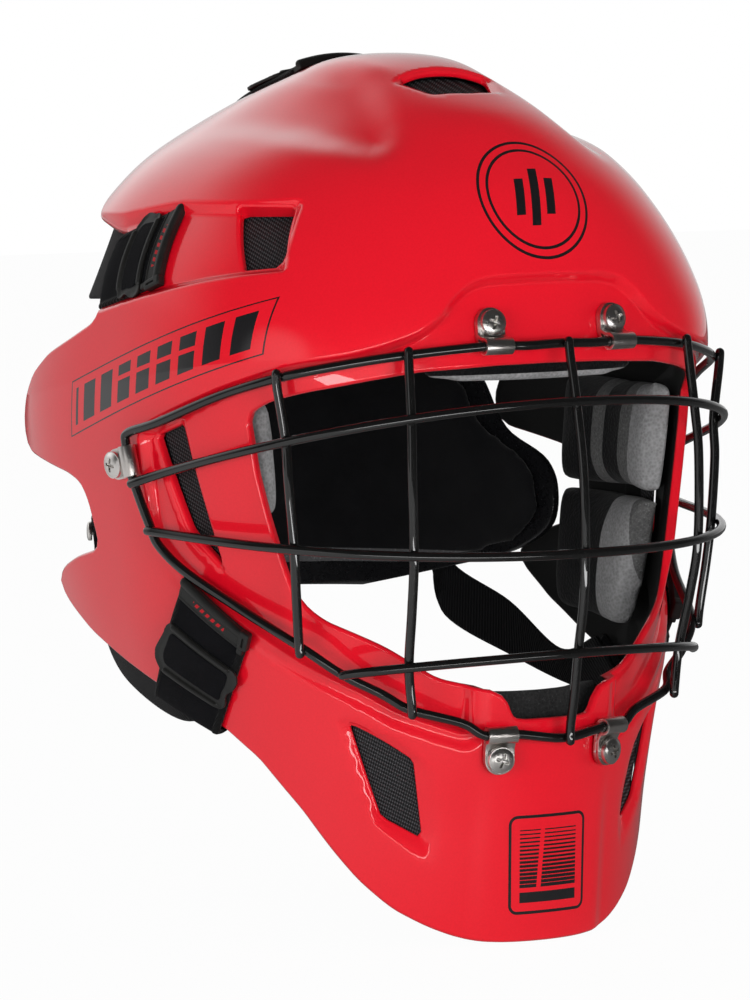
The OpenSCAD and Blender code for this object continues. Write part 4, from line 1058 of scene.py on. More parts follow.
def tube(name, path, radius, closed=False):
    # A round wire along a path, in millimetres, from a bevelled curve
    path = np.asarray(path, float)
    widths = np.ones(len(path))
    if not closed:
        first, last = path[1] - path[0], path[-2] - path[-1]
        first, last = first / np.linalg.norm(first), last / np.linalg.norm(last)
        caps = [(radius * (1 - math.cos(t)), math.sin(t)) for t in (0.12, 0.5, 0.9, 1.25)]
        head = [path[0] + first * d for d, _ in caps]
        foot = [path[-1] + last * d for d, _ in caps[::-1]]
        clear = [min(np.linalg.norm(p - path[0]), np.linalg.norm(p - path[-1])) > radius * 1.05 for p in path]
        inner = [p for p, kept in zip(path, clear) if kept]
        widths = np.array([w for _, w in caps] + [1] * len(inner) + [w for _, w in caps[::-1]])
        path = np.array(head + inner + foot)
    line = bpy.data.curves.new(name, "CURVE")
    line.dimensions = "3D"
    line.bevel_depth = radius * mm
    line.bevel_resolution = 5
    line.use_fill_caps = not closed
    spline = line.splines.new("POLY")
    spline.points.add(len(path) - 1)
    for point, place, width in zip(spline.points, path, widths):
        point.co = (*(place * mm), 1)
        point.radius = width
    spline.use_cyclic_u = closed
    strand = bpy.data.objects.new(name, line)
    scene.collection.objects.link(strand)
    only(strand)
    bpy.ops.object.convert(target="MESH")
    piece = bpy.context.object
    piece.name = name
    bpy.ops.object.shade_smooth()
    return piece


cageForm = {
    "wire": 3.4,
    "seats": {  # the skin point a clip sits on, an outer point, the clip's roll, the wire's height and reach
        "brow": (onFront(26.5, -67.5, 4.5)[0], onFront(26.5, -67.5, 0)[0], 0, 5.8, 8.4),
        "side": (onSide(-11, -119.6, 0)[0], onSide(-11, -119.6, -1)[0], -102, 3.7, 9.6),
        "chin": (onFront(23, -221, 0)[0], onFront(23, -221, -1)[0], 180, 3.7, 9)},
    "cross": [(112, -14, -130.1, 2.45, -95.2, -126.2, 0.9, 7.8, 9),
              (110.5, -23, -135.6, 2.2, -148, -142, 1, 6, 5.5),
              (76, -91, -131.6, 1.7, -183.4, -190.2, 1, 1.6, 1.9)],
    "centre": [(0, -122.2, -72.8), (0, -123.4, -80), (0, -126.9, -95.2), (0, -131.2, -120.5),
               (0, -132.4, -148),
               (0, -131.4, -166), (0, -128.4, -183.4), (0, -126, -200), (0, -124, -210), (0, -124, -217)],
    "inner": [(60.6, -111, -74.8), (61, -111.8, -82), (61.9, -114.6, -102), (62.6, -116, -118),
              (62.1, -116.4, -148),
              (60.9, -113.5, -167), (59.2, -109.3, -186.5), (57.7, -108.9, -200), (57.3, -108.9, -205.4)],
    "outer": [(97.4, -83.4, -82.6), (96.8, -83.4, -90), (93.9, -84.2, -108), (93.6, -85.4, -122),
              (91.7, -85.9, -144),
              (90.2, -85, -160), (88.2, -83.6, -177), (87.4, -83.6, -184.4)]}


def seatAxes(seat):
    # Outwards, sideways and up at a clip
    out = seat[1] - seat[0]
    out = out / np.linalg.norm(out)
    flat = math.atan2(out[1], out[0])
    side = np.array([-math.sin(flat), math.cos(flat), 0])
    up = np.cross(out, side)
    c, s = math.cos(math.radians(seat[2])), math.sin(math.radians(seat[2]))
    return out, c * side + s * up, c * up - s * side


def seatWire(seat, along):
    out, side, up = seatAxes(seat)
    return seat[0] + seat[3] * out - seat[4] * up + along * side


def buildCage():
    brow, side, chin = (cageForm["seats"][k] for k in ("brow", "side", "chin"))
    half = [(0, -119, -75.3), (14, -118.3, -75.7)] + [seatWire(brow, s) for s in (-6, 6)] + \
        [(59, -108, -78), (79, -96, -81.5), (95, -81.4, -86), (105, -60, -93), (114.6, -34.6, -103.6)] + \
        [seatWire(side, -7.5) + np.array([-0.2, -2, 2.8])] + [seatWire(side, s) for s in (-6, 6)] + \
        [(113.4, -27.6, -140.6), (111.4, -31, -148), (106.8, -41, -156.6), (97.6, -56.8, -167),
         (86, -81.7, -180.6),
         (75, -91, -190), (63, -98, -197), (55.8, -105.7, -202.4), (38, -111.5, -207.7)] + \
        [seatWire(chin, s) for s in (-6, 6)] + [(0, -120.8, -214.5)]
    half = [np.array(p, float) for p in half]
    rim = half + [p * np.array([-1, 1, 1]) for p in half[-2:0:-1]]
    radius = cageForm["wire"] / 2
    rimWire = tube("cageRimWire", through(rim, 10, True), radius, True)
    crosses = []
    for k, (wide, start, front, square, dropA, dropB, power, out, back) in enumerate(cageForm["cross"]):
        turns = [math.radians(90) * np.sign(q) * abs(q) ** 0.92 for q in np.linspace(-1, 1, 91)]
        line = []
        for turn in turns:
            x = wide * abs(math.sin(turn)) ** (2 / square)
            y = start - (start - front) * abs(math.cos(turn)) ** (2 / square)
            share = (y - front) / (start - front)
            e = share ** 6
            line.append((np.sign(turn) * (x + out * e), y - back * e,
                         dropA + (dropB - dropA) * share ** power))
        crosses.append(tube("cross%d" % k, line, radius))
    uprights = [tube("centre", through(cageForm["centre"], 6), radius)]
    for name in ("inner", "outer"):
        for sign in (1, -1):
            uprights.append(tube(name, through(np.array(cageForm[name]) * [sign, 1, 1], 6), radius))
    return rimWire, joined("cageCrossWires", crosses), joined("cageUprightWires", uprights)


for piece, node in zip(buildCage(), ("cage_rim_wire", "cage_cross_wires", "cage_upright_wires")):
    dress(repaint(piece, wireCoat), "shell", node)
print("cage modelled")


# Clips and screws
clipForm = {
    "width": 11.0, "thick": 1.2, "gap": 0.2, "tab": 5.4, "foot": 4.3, "hole": 2.9, "round": 0.15,
    "bevel": 0.22}
screwForm = {
    "head": 4.8, "disc": 3.0, "steps": ((0.35, 0), (0.75, 0.75), (0.9, 0.45), (1.1, 0.22), (0.9, 0.06)),
    "high": 3.2,
    "recess": (5.0, 1.15, 2.6), "recessTurn": 20, "recessBevel": 0.35, "shank": 2.5, "shankLong": 9.2,
    "shankAt": -4.4, "bevel": 0.12}


def seatMatrix(seat):
    out, side, up = seatAxes(seat)
    turn = Matrix([(out[k], side[k], up[k], 0) for k in range(3)] + [(0, 0, 0, 1)])
    return Matrix.Translation(Vector(seat[0] * mm)) @ turn


def buildClip(seat):
    # A strip folded round the wire: its centre line in height over the seat and place along the clip
    rise, reach, t = seat[3], seat[4], clipForm["thick"]
    r = cageForm["wire"] / 2 + clipForm["round"] + t / 2
    low, high = clipForm["gap"] + t / 2, clipForm["gap"] + t * 1.5 + 0.04
    tab, foot = clipForm["tab"], clipForm["foot"]
    turns = [math.radians(q) for q in range(186, 474, 12)]
    arc = [np.array([rise, -reach]) + r * np.array([math.cos(q), math.sin(q)]) for q in turns]
    line = [(low, tab), (low, 2), (low, -2), (low, -foot)] + arc
    line = through(line + [(high, -foot - 0.1), (high, -2), (high, 2), (high, tab)], 2)
    way = np.gradient(line, axis=0)
    way /= np.linalg.norm(way, axis=1)[:, None]
    off = np.stack([way[:, 1], -way[:, 0]], 1) * t / 2
    loop = np.concatenate([line + off, (line - off)[::-1]])
    count, half = len(loop), clipForm["width"] / 2
    points = [(x, w, z) for w in (-half, half) for x, z in loop]
    faces = [(k, (k + 1) % count, count + (k + 1) % count, count + k) for k in range(count)]
    for k in range(count // 2 - 1):
        a, b = count - 1 - k, count - 2 - k
        faces += [(k + 1, k, a, b), (count + k, count + k + 1, count + b, count + a)]
    clip = outward(meshPiece("clip", points, faces, clipSteel))
    # The tab's end is round, and a hole takes the screw
    tab = joined("tabShape", [cylinder(48, half, 8, turn=90), cuboid((30, half * 2 + 1, 16), (0, 0, -8))])
    carved(clip, tab, "INTERSECT", use_self=True)
    carved(clip, cylinder(32, clipForm["hole"], 20, turn=90))
    return smoothed(edged(clip, clipForm["bevel"], 2, 40), 38)


def buildScrew():
    # A pan head by drawing in a disc, then a cross recess
    screw = cylinder(48, screwForm["head"], screwForm["disc"], screwForm["disc"] / 2)
    stepped(screw, screwForm["steps"])
    top = max(v.co.z for v in screw.data.vertices)
    for v in screw.data.vertices:  # the head seats flat on the clip and stays as high as the solid's
        v.co.z = v.co.z * screwForm["high"] * mm / top
    for k in range(2):
        turn = math.radians(screwForm["recessTurn"] + 90 * k)
        bar = cuboid(screwForm["recess"], (0, 0, screwForm["disc"]), turn)
        applied(bar, "BEVEL", width=screwForm["recessBevel"] * mm, segments=3)
        carved(screw, bar)
    shank = cylinder(32, screwForm["shank"], screwForm["shankLong"], screwForm["shankAt"])
    edged(screw, screwForm["bevel"], 2, 45)
    return smoothed(joined("screw", [screw, shank]), 35)


def placeClips():
    screw = buildScrew()
    lift = (clipForm["gap"] + 2 * clipForm["thick"] + 0.05) * mm
    lay = Matrix.Translation((lift, 0, 0)) @ Matrix.Rotation(math.radians(90), 4, "Y")
    screws = []
    for name, seat in cageForm["seats"].items():
        plain = buildClip(seat)
        place = seatMatrix(seat)
        for hand, flip in (("left", Matrix.Identity(4)), ("right", flipX)):
            clip = copied(plain, "clip_%s_%s" % (name, hand), flip @ place)
            dress(clip, "shell", "cage_clip_%s_%s" % (name, hand))
            screws.append(copied(screw, "screw", flip @ place @ lay))
        bpy.data.objects.remove(plain)
    bpy.data.objects.remove(screw)
    dress(repaint(joined("clipScrews", screws), screwSteel), "shell", "clip_screws")


placeClips()
print("clips and screws modelled")


# Grids on the skin, from corners given as in the solid
def patch(quad, rows, cols):
    quad = np.array(quad, float)
    v, u = np.meshgrid(np.linspace(0, 1, rows), np.linspace(0, 1, cols), indexing="ij")
    u, v = u[..., None], v[..., None]
    p = (quad[0] * (1 - u) + quad[1] * u) * (1 - v) + (quad[3] * (1 - u) + quad[2] * u) * v
    return p.reshape(-1, 2), u.ravel(), v.ravel()


def sheetFaces(rows, cols):
    # Rows run down and columns to the right, seen from outside
    return [(i * cols + j, (i + 1) * cols + j, (i + 1) * cols + j + 1, i * cols + j + 1)
            for i in range(rows - 1) for j in range(cols - 1)]


def slab(name, outer, inner, rows, cols, material):
    # A closed solid between two grids
    count = rows * cols
    top = sheetFaces(rows, cols)
    loop = list(range(cols)) + [i * cols + cols - 1 for i in range(1, rows)] + \
        [(rows - 1) * cols + j for j in range(cols - 2, -1, -1)] + [i * cols for i in range(rows - 2, 0, -1)]
    sides = [(a, b, b + count, a + count) for a, b in zip(loop, loop[1:] + loop[:1])]
    faces = top + [tuple(k + count for k in f[::-1]) for f in top] + sides
    return outward(meshPiece(name, np.concatenate([outer, inner]), faces, material))


def resized(quad, by):
    # Corners moved out from their middle, or in
    quad = np.array(quad, float)
    out = quad - quad.mean(0)
    return quad + by * out / np.linalg.norm(out, axis=1)[:, None]


# Vent meshes: fine cloth behind each vent
ventForm = {
    "lap": 3, "thick": 0.6, "sag": 0.5, "grid": 21,
    "temple": ([(-66, -26), (-44.5, -26.5), (-59.5, -48.5), (-74, -48)], onSide, 9.1),
    "cheek": ([(-40, -104), (-25.5, -109), (-38.5, -143), (-51.5, -155)], onSide, 9.1),
    "jaw": ([(50.5, -221.5), (68, -208.5), (57.5, -242.5), (46.5, -249.5)], onFront, 4.7),
    "crown": ([(-19, -45), (19, -45), (13, -61), (-13, -61)], onCrown, 4.9)}


def buildVents():
    for name in ("temple", "cheek", "jaw", "crown"):
        (quad, place, depth), n = ventForm[name], ventForm["grid"]
        points, u, v = patch(resized(quad, ventForm["lap"]), n, n)
        sag = ventForm["sag"] * np.sin(np.pi * u) * np.sin(np.pi * v)
        outer = place(points[:, 0], points[:, 1], depth + sag)
        inner = place(points[:, 0], points[:, 1], depth + sag + ventForm["thick"])
        if name == "crown":  # under the sunk sides of the crown, as the shell is
            drop = hollow(outer)[:, None] * np.array([0, 0, 1.0])
            outer, inner = outer - drop, inner - drop
        cloth = slab("vent_mesh_" + name, outer, inner, n, n, ventCloth)
        wide = (np.linalg.norm(outer[n - 1] - outer[0]) + np.linalg.norm(outer[-1] - outer[-n])) / 2 * mm
        tall = (np.linalg.norm(outer[-n] - outer[0]) + np.linalg.norm(outer[-1] - outer[n - 1])) / 2 * mm
        area = sum(face.area for face in cloth.data.polygons) / 2 - (wide + tall) * ventForm["thick"] * mm
        for node, piece, _ in handed(cloth, "vent_mesh_" + name, name != "crown"):
            piece.name = "cloth_" + node
            dress(piece, "shell", node)
            area = min(area, wide * tall)


# Pads: foam swollen a little by cloth pressure, then covered
padForm = {
    "thick": 13.0, "start": 11.1, "shrink": 0.6, "voxel": 4.5, "pressure": 3.0, "stiff": 30, "cap": 2.2,
    "frames": 14,
    "places": {  # corners, rows, columns, least fullness at the edges, and if both sides have one
        "temple_pad": (onSide, [(-71, -97), (10, -96), (10, -139), (-70, -139)], 17, 25, 0.74, True),
        "cheek_pad": (onSide, [(-69, -140.5), (9, -140.5), (3, -187), (-54, -191)], 17, 23, 0.74, True),
        "brow_pad": (onFront, [(-50, -53), (50, -53), (49, -89), (-49, -89)], 13, 33, 0.7, False),
        "chin_pad": (onFront, [(-38, -198.5), (38, -198.5), (33, -246), (-33, -246)], 17, 25, 0.55, False)},
    "crown": [(-47, 33), (47, 33), (43, -35), (-43, -35)], "crownDepth": 7.2}


def drawnIn(u, least=0.45):
    return least + (1 - least) * np.sqrt(np.maximum(0, 1 - np.abs(2 * u - 1) ** 4))


def swollen(piece, cap):
    # Cloth pressure rounds the pad; each point's way is held within the cap
    only(piece)
    piece.data.remesh_voxel_size = padForm["voxel"] * mm
    bpy.ops.object.voxel_remesh()
    start = np.array([v.co for v in piece.data.vertices])
    cloth = piece.modifiers.new("cloth", "CLOTH")
    cloth.settings.use_pressure = True
    cloth.settings.uniform_pressure_force = padForm["pressure"]
    cloth.settings.effector_weights.gravity = 0
    cloth.settings.tension_stiffness = padForm["stiff"]
    cloth.settings.compression_stiffness = padForm["stiff"]
    cloth.point_cache.frame_start = 1
    cloth.point_cache.frame_end = padForm["frames"]
    for step in range(1, padForm["frames"] + 1):
        scene.frame_set(step)
    pressed = piece.evaluated_get(bpy.context.evaluated_depsgraph_get())
    end = np.array([v.co for v in pressed.data.vertices])
    piece.modifiers.remove(cloth)
    scene.frame_set(1)
    way = end - start
    long = np.linalg.norm(way, axis=1)
    way *= (np.minimum(long, cap * mm) / np.maximum(long, 1e-9))[:, None]
    piece.data.vertices.foreach_set("co", (start + way).ravel())
    piece.data.update()
    applied(piece, "SMOOTH", factor=0.5, iterations=3)
    applied(piece, "SUBSURF", levels=1, render_levels=1)
    return piece


def padSlab(name, place, quad, rows, cols, least):
    points, u, v = patch(resized(quad, -padForm["shrink"]), rows, cols)
    start = padForm["start"]
    inside = start + padForm["thick"] * drawnIn(u, least) * drawnIn(v, least)
    outer = place(points[:, 0], points[:, 1], start + 0.6)
    inner = place(points[:, 0], points[:, 1], inside - 0.8)
    return slab(name, outer, inner, rows, cols, speckledFoam)


def finishPad(piece, body, node, material=speckledFoam):
    only(repaint(piece, material))
    bpy.ops.object.shade_smooth()
    dress(piece, body, node)


def crownSlab():
    points, rows, cols = patch(padForm["crown"], 21, 27)[0], 21, 27
    outer = onCrown(points[:, 0], points[:, 1], padForm["crownDepth"])
    outer[:, 2] -= hollow(outer)
    inner = outer.copy()
    inner[:, 2] = np.minimum(-(inner[:, 0] ** 2 + inner[:, 1] ** 2) / 184 + 0.8, outer[:, 2] - 4)
    return slab("crown_pad", outer, inner, rows, cols, speckledFoam)


def buildPads():
    for name, (place, quad, rows, cols, least, paired) in padForm["places"].items():
        pad = swollen(padSlab(name, place, quad, rows, cols, least), padForm["cap"])
        for node, piece, _ in handed(pad, name, paired):
            piece.name = "foam_" + node
            finishPad(piece, "shell", node)
    crown = swollen(crownSlab(), padForm["cap"])
    crown.name = "foam_crown_pad"
    finishPad(crown, "shell", "crown_pad")


buildVents()
print("vents covered")
buildPads()
print("pads swollen")


# Straps: loop cloth from a moulded end, over the shell's edge and a little way back inside
strapForm = {
    "upper": {"from": [(-20.5, -26.5), (-26.5, -55)], "to": [(8.2, -38.6), (8.2, -65.6)], "under": 4.5,
              "first": 0},
    "lower": {"from": [(-39.5, -157.5), (-62, -177.5)], "to": [(-13, -200.8), (-41, -213.4)], "under": 0,
              "first": 0},
    "top": {"width": 38, "edge": 72.2, "under": 0, "first": 15},
    "cloth": 1.8, "gap": 0.4, "end": 6.0, "inner": 1.0, "binding": 2.4, "bindingRise": 0.35}


def strapLength(name):
    form = strapForm[name]
    if name == "top":
        return form["edge"]
    return float(np.linalg.norm((np.sum(form["to"], 0) - np.sum(form["from"], 0)) / 2))


def onStrap(name, along, across, depth):
    # A place on a strap: distance along it, share across it, and depth under the plain skin
    form = strapForm[name]
    given = (np.atleast_1d(np.asarray(q, float)) for q in (along, across, depth))
    along, across, depth = np.broadcast_arrays(*given)
    if name == "top":
        return onCrown((across * 2 - 1) * form["width"] / 2, along, depth)
    start, end = np.array(form["from"], float), np.array(form["to"], float)
    w, t = across[:, None], (along / strapLength(name))[:, None]
    a = start[0] * (1 - w) + start[1] * w
    b = end[0] * (1 - w) + end[1] * w
    q = a + (b - a) * t
    return onSide(q[:, 0], q[:, 1], depth)


def strapWidth(name, along):
    edge = onStrap(name, np.full(9, along), np.linspace(0, 1, 9), strapForm[name]["under"])
    return float(np.linalg.norm(np.diff(edge, axis=0), axis=1).sum())


def strapPaths(name):
    # Stations along the strap with the depths of its outer and inner faces
    form, long, wall = strapForm[name], strapLength(name), shellForm["wall"]
    start, s, t = form["first"] + strapForm["end"] - 1.0, form["under"], strapForm["cloth"]
    a, b = s - strapForm["gap"] - t, s + wall + strapForm["inner"] + t
    flat = np.linspace(0, 1, 5)
    outer = [(start + (long - 0.4 - start) * k, a) for k in flat]
    outer += [(long + 1.8, s - 1.2), (long + 0.8 + t, s + wall / 2), (long + 1.8, s + wall + 1.2)]
    outer += [(long - 0.4, b), (long - 7, b)]
    inner = [(start + (long - 1 - start) * k, s - strapForm["gap"]) for k in flat]
    inner += [(long + 0.5, s - 0.2), (long + 0.8, s + wall / 2), (long + 0.5, s + wall + 0.6)]
    inner += [(long - 1, s + wall + 1), (long - 7, s + wall + 1)]
    return through(outer, 6), through(inner, 6)


def buildStrap(name):
    outerLine, innerLine = strapPaths(name)
    wide = strapWidth(name, strapLength(name) / 2)
    near = np.array([0, 0.35, 0.9, 1.6, 2.2, 2.5, 3.2]) / wide
    across = np.concatenate([near, np.linspace(near[-1], 1 - near[-1], 14)[1:-1], 1 - near[::-1]])
    edge = np.minimum(across, 1 - across) * wide
    roll = np.clip(1 - edge / strapForm["binding"], 0, 1)
    rise = strapForm["bindingRise"] * np.sin(np.pi * np.clip(edge / strapForm["binding"], 0, 1)) ** 0.7
    drop = 0.75 * roll ** 4
    rows, cols = len(across), len(outerLine)
    outer, inner = (np.array([onStrap(name, line[:, 0], np.full(cols, w), line[:, 1]) for w in across])
                    for line in (outerLine, innerLine))
    out = outer - inner
    out /= np.linalg.norm(out, axis=2)[:, :, None]
    outer = outer + out * (rise - drop)[:, None, None]
    inner = inner + out * (0.45 * drop)[:, None, None]
    strap = slab("strap_" + name, outer.reshape(-1, 3), inner.reshape(-1, 3), rows, cols, loopCloth)
    # Distance from the strap's edge, for the binding's ribs
    carry(strap, "edge", np.tile(np.repeat(edge, cols), 2))
    long = float(np.linalg.norm(np.diff((outer + inner)[rows // 2] / 2, axis=0), axis=1).sum())
    return strap, (wide * mm, long * mm)


# Moulded rubber pieces: shaped flat, melted into one skin, and laid on the strap
def flatPlate(outline, low, high, inset=0.0, recess=0.0):
    # A plate between two heights, from an outline in distance along and across, with a sunk field
    points = [(x, y, low) for x, y in rounded(outline, 1.8)]
    plate = meshPiece("plate", points, [range(len(points))], strapRubber)
    only(plate)
    bpy.ops.object.mode_set(mode="EDIT")
    bpy.ops.mesh.select_mode(type="FACE")
    bpy.ops.mesh.select_all(action="SELECT")
    bpy.ops.mesh.normals_make_consistent(inside=False)
    bpy.ops.mesh.extrude_region_move(TRANSFORM_OT_translate={"value": (0, 0, (high - low) * mm)})
    if inset:
        bpy.ops.mesh.inset(thickness=inset * mm, depth=0)
        bpy.ops.transform.translate(value=(0, 0, -recess * mm))
    bpy.ops.object.mode_set(mode="OBJECT")
    return outward(plate)


def block(size, at, bevel, lean=0.0):
    return applied(cuboid(size, at, lean), "BEVEL", width=bevel * mm, segments=3)


def bar(a, b, radius, flat=1.0):
    # A round bar between two places in distance along, across and height
    a, b = np.array(a, float), np.array(b, float)
    piece = tube("bar", [a, (a + b) / 2, b], radius)
    if flat != 1:
        middle = (a[2] + b[2]) / 2 * mm
        for v in piece.data.vertices:
            v.co.z = middle + (v.co.z - middle) * flat
    return piece


def melted(name, pieces, voxel=0.32, smooth=3):
    piece = joined(name, pieces)
    only(piece)
    piece.data.remesh_voxel_size = voxel * mm * 1.0
    bpy.ops.object.voxel_remesh()
    applied(piece, "SMOOTH", factor=0.5, iterations=smooth)
    return piece


def laid(piece, name, lift, marked=False):
    # From flat to its place on the strap; heights count from a depth under the skin
    co = np.array([v.co for v in piece.data.vertices]) / mm
    if marked:
        carry(piece, "along", co[:, 0] - strapForm[name]["first"])
        carry(piece, "across", co[:, 1])
    wide = strapWidth(name, strapLength(name) / 2)
    placed = onStrap(name, co[:, 0], co[:, 1] / wide + 0.5, lift - co[:, 2])
    piece.data.vertices.foreach_set("co", (placed * mm).ravel())
    piece.data.update()
    outward(piece)
    bpy.ops.object.shade_smooth()
    return repaint(piece, strapRubber)


def buildStrapEnd(name):
    # A bar with a ramp behind it, a groove between them, and a lug with a slot at one end
    form = strapForm[name]
    half, first = strapWidth(name, strapLength(name) / 2) / 2, form["first"]
    start, end = first + 1, first + 7.4
    ramp = flatPlate([(start, -half), (end, -half + 0.4), (end, half - 0.4), (start, half)], 0, 2.1)
    rail = bar((first + 1.5, -half - 0.3, 2.15), (first + 1.5, half + 0.3, 2.15), 1.7)
    foot = block((3.0, half * 2, 2.0), (first + 1.5, 0, 1.0), 0.3)
    lip = bar((first + 7.2, -half + 0.6, 1.9), (first + 7.2, half - 0.6, 1.9), 0.55)
    lug = block((7.2, 3.6, 3.7), (first + 3.0, half - 1.2, 1.9), 0.7, 0.12)
    lugTwo = block((5.0, 2.4, 3.0), (first + 6.8, half - 1.6, 1.5), 0.6, 0.12)
    end = melted("strap_end_" + name, [ramp, rail, foot, lip, lug, lugTwo])
    slot = block((3.6, 0.9, 3.0), (first + 3.4, half - 1.1, 4.3), 0.2, 0.12)
    return laid(carved(end, slot), name, form["under"] - strapForm["gap"], marked=True)


tabForm = {
    "upper": {"start": 9.6, "length": 12.6}, "lower": {"start": 17, "length": 19},
    "top": {"start": 30, "length": 20},
    "gap": 0.25, "farFromEdge": 20.0,
    # Outlines in twentieths of the length along, and distance out from the strap's edges
    "left": [(0, -1.2), (1.2, 0.6), (4, 1.7), (8.5, 1.1), (11, -0.6), (13.5, -0.9), (16, 0.2), (18.8, -0.4),
             (20, -3.2)],
    "right": [(20, -3), (18.5, -0.6), (16.5, 1.6), (13, 2.4), (9.5, 1.4), (6, 0.3), (2, -0.1), (0, -1.6)],
    "fieldLeft": [(3.2, -2.6), (9, -2.4), (12, -3.1), (16.4, -2.6)],
    "fieldRight": [(16.4, -3.2), (13, -1.6), (9, -2.2), (3.2, -2.8)]}


def buildTab(name):
    # A frame with waisted sides and two bars, and a cloth field sunk inside it
    form = tabForm[name]
    half = strapWidth(name, strapLength(name) / 2) / 2
    a, k = form["start"], form["length"] / 20

    def ringed(left, right):
        return [(a + s * k, half + w) for s, w in left] + [(a + s * k, -half - w) for s, w in right]
    frame = flatPlate(ringed(tabForm["left"], tabForm["right"]), 0, 1.15, 1.6, 0.5)
    upper = bar((a + 1.1 * k, -half + 2.4, 1.0), (a + 1.1 * k, half - 2.4, 1.0), 0.95, 0.95)
    lower = bar((a + 18.8 * k, -half + 3.2, 1.0), (a + 18.8 * k, half - 3.2, 1.0), 0.95, 0.95)
    tab = melted("pull_tab_" + name, [frame, upper, lower], 0.3)
    lift = strapForm[name]["under"] - strapForm["gap"] - strapForm["cloth"] - tabForm["gap"]
    tab = laid(tab, name, lift)
    field = flatPlate(ringed(tabForm["fieldLeft"], tabForm["fieldRight"]), 0.4, 1.0)
    cloth = repaint(laid(melted("tab_cloth_" + name, [field], 0.3, 4), name, lift), loopCloth)
    carry(cloth, "edge", np.full(len(cloth.data.vertices), tabForm["farFromEdge"]))
    return tab, cloth


def buildStraps():
    for name in ("upper", "lower", "top"):
        strap, flat = buildStrap(name)
        end = buildStrapEnd(name)
        tab, cloth = buildTab(name)
        kinds = ((strap, "made_", "strap_", "loop_cloth"), (end, "made_", "strap_end_", "strap_rubber"),
                 (tab, "made_", "pull_tab_", "strap_rubber"),
                 (cloth, "tab_cloth_", "pull_tab_", "loop_cloth"))
        for hand in ("",) if name == "top" else ("_left", "_right"):
            for piece, title, stem, slotName in kinds:
                node = stem + name + hand
                made = copied(piece, title + node, flipX if hand == "_right" else Matrix.Identity(4))
                dress(made, node if stem == "pull_tab_" else "shell", node)
                if piece is strap:
                    flat[0] * flat[1]
        for piece, *_ in kinds:
            bpy.data.objects.remove(piece)


# Back plate: a sprung, moulded plate behind the head, and its pad
plateForm = {
    "rows": [(-22, 68, 96, 88), (-32, 71, 98, 87), (-42, 75, 100, 84), (-55, 81, 103, 79), (-67, 86, 106, 72),
             (-83, 91, 110, 58), (-100, 95, 113, 47), (-112, 95, 113.5, 42), (-121, 95, 113.5, 36),
             (-128, 94.5, 113.5, 17), (-136, 94, 113, 10), (-146, 93.6, 112.4, 8.5), (-155, 93, 111.6, 10.5),
             (-165, 92, 110.4, 28), (-173, 91, 109, 60), (-180, 90, 108, 84)],
    "top": -22, "foot": -180, "thick": 3.0, "rim": 5.0, "rimRamp": 3.5, "rimRise": 0.7, "round": 1.0,
    "pad": 8.0, "padStart": 3.8, "padMargin": 5.7, "padCap": 1.4}


def plateRow(i):
    rows = np.array(plateForm["rows"], float)
    i = np.clip(np.asarray(i, float), 0, len(rows) - 1)
    return np.stack([np.interp(i, np.arange(len(rows)), rows[:, k]) for k in range(4)], 1)


def platePoint(i, share, margin=0.0, depth=0.0):
    # Rows from the top, and a share round the plate from the wearer's left wing to the right one
    r = plateRow(i)
    reach = r[:, 2]
    y = np.clip((r[:, 3] + margin) / reach, -1, 1)
    start = np.arctan2(r[:, 1] * np.sqrt(1 - y * y), -y * reach)
    angle = start + (2 * np.pi - 2 * start) * share
    radius = 1 / np.sqrt((np.sin(angle) / r[:, 1]) ** 2 + (np.cos(angle) / reach) ** 2)
    p = np.stack([radius * np.sin(angle), -radius * np.cos(angle), r[:, 0]], 1)
    n = np.stack([p[:, 0] / r[:, 1] ** 2, p[:, 1] / reach ** 2, np.zeros(len(p))], 1)
    return p - np.reshape(depth, (-1, 1)) * n / np.linalg.norm(n, axis=1)[:, None]


def plateGrid(first, last, rows, cols):
    i, u = np.meshgrid(np.linspace(first, last, rows), np.linspace(0, 1, cols), indexing="ij")
    return i.ravel(), u.ravel()


def smoothRows(points, rows, cols, times):
    # Softens the plate's outline down its rows; the first and last rows stay
    p = points.reshape(rows, cols, 3).copy()
    for _ in range(times):
        p[1:-1] = (p[:-2] + 2 * p[1:-1] + p[2:]) / 4
    return p.reshape(-1, 3)


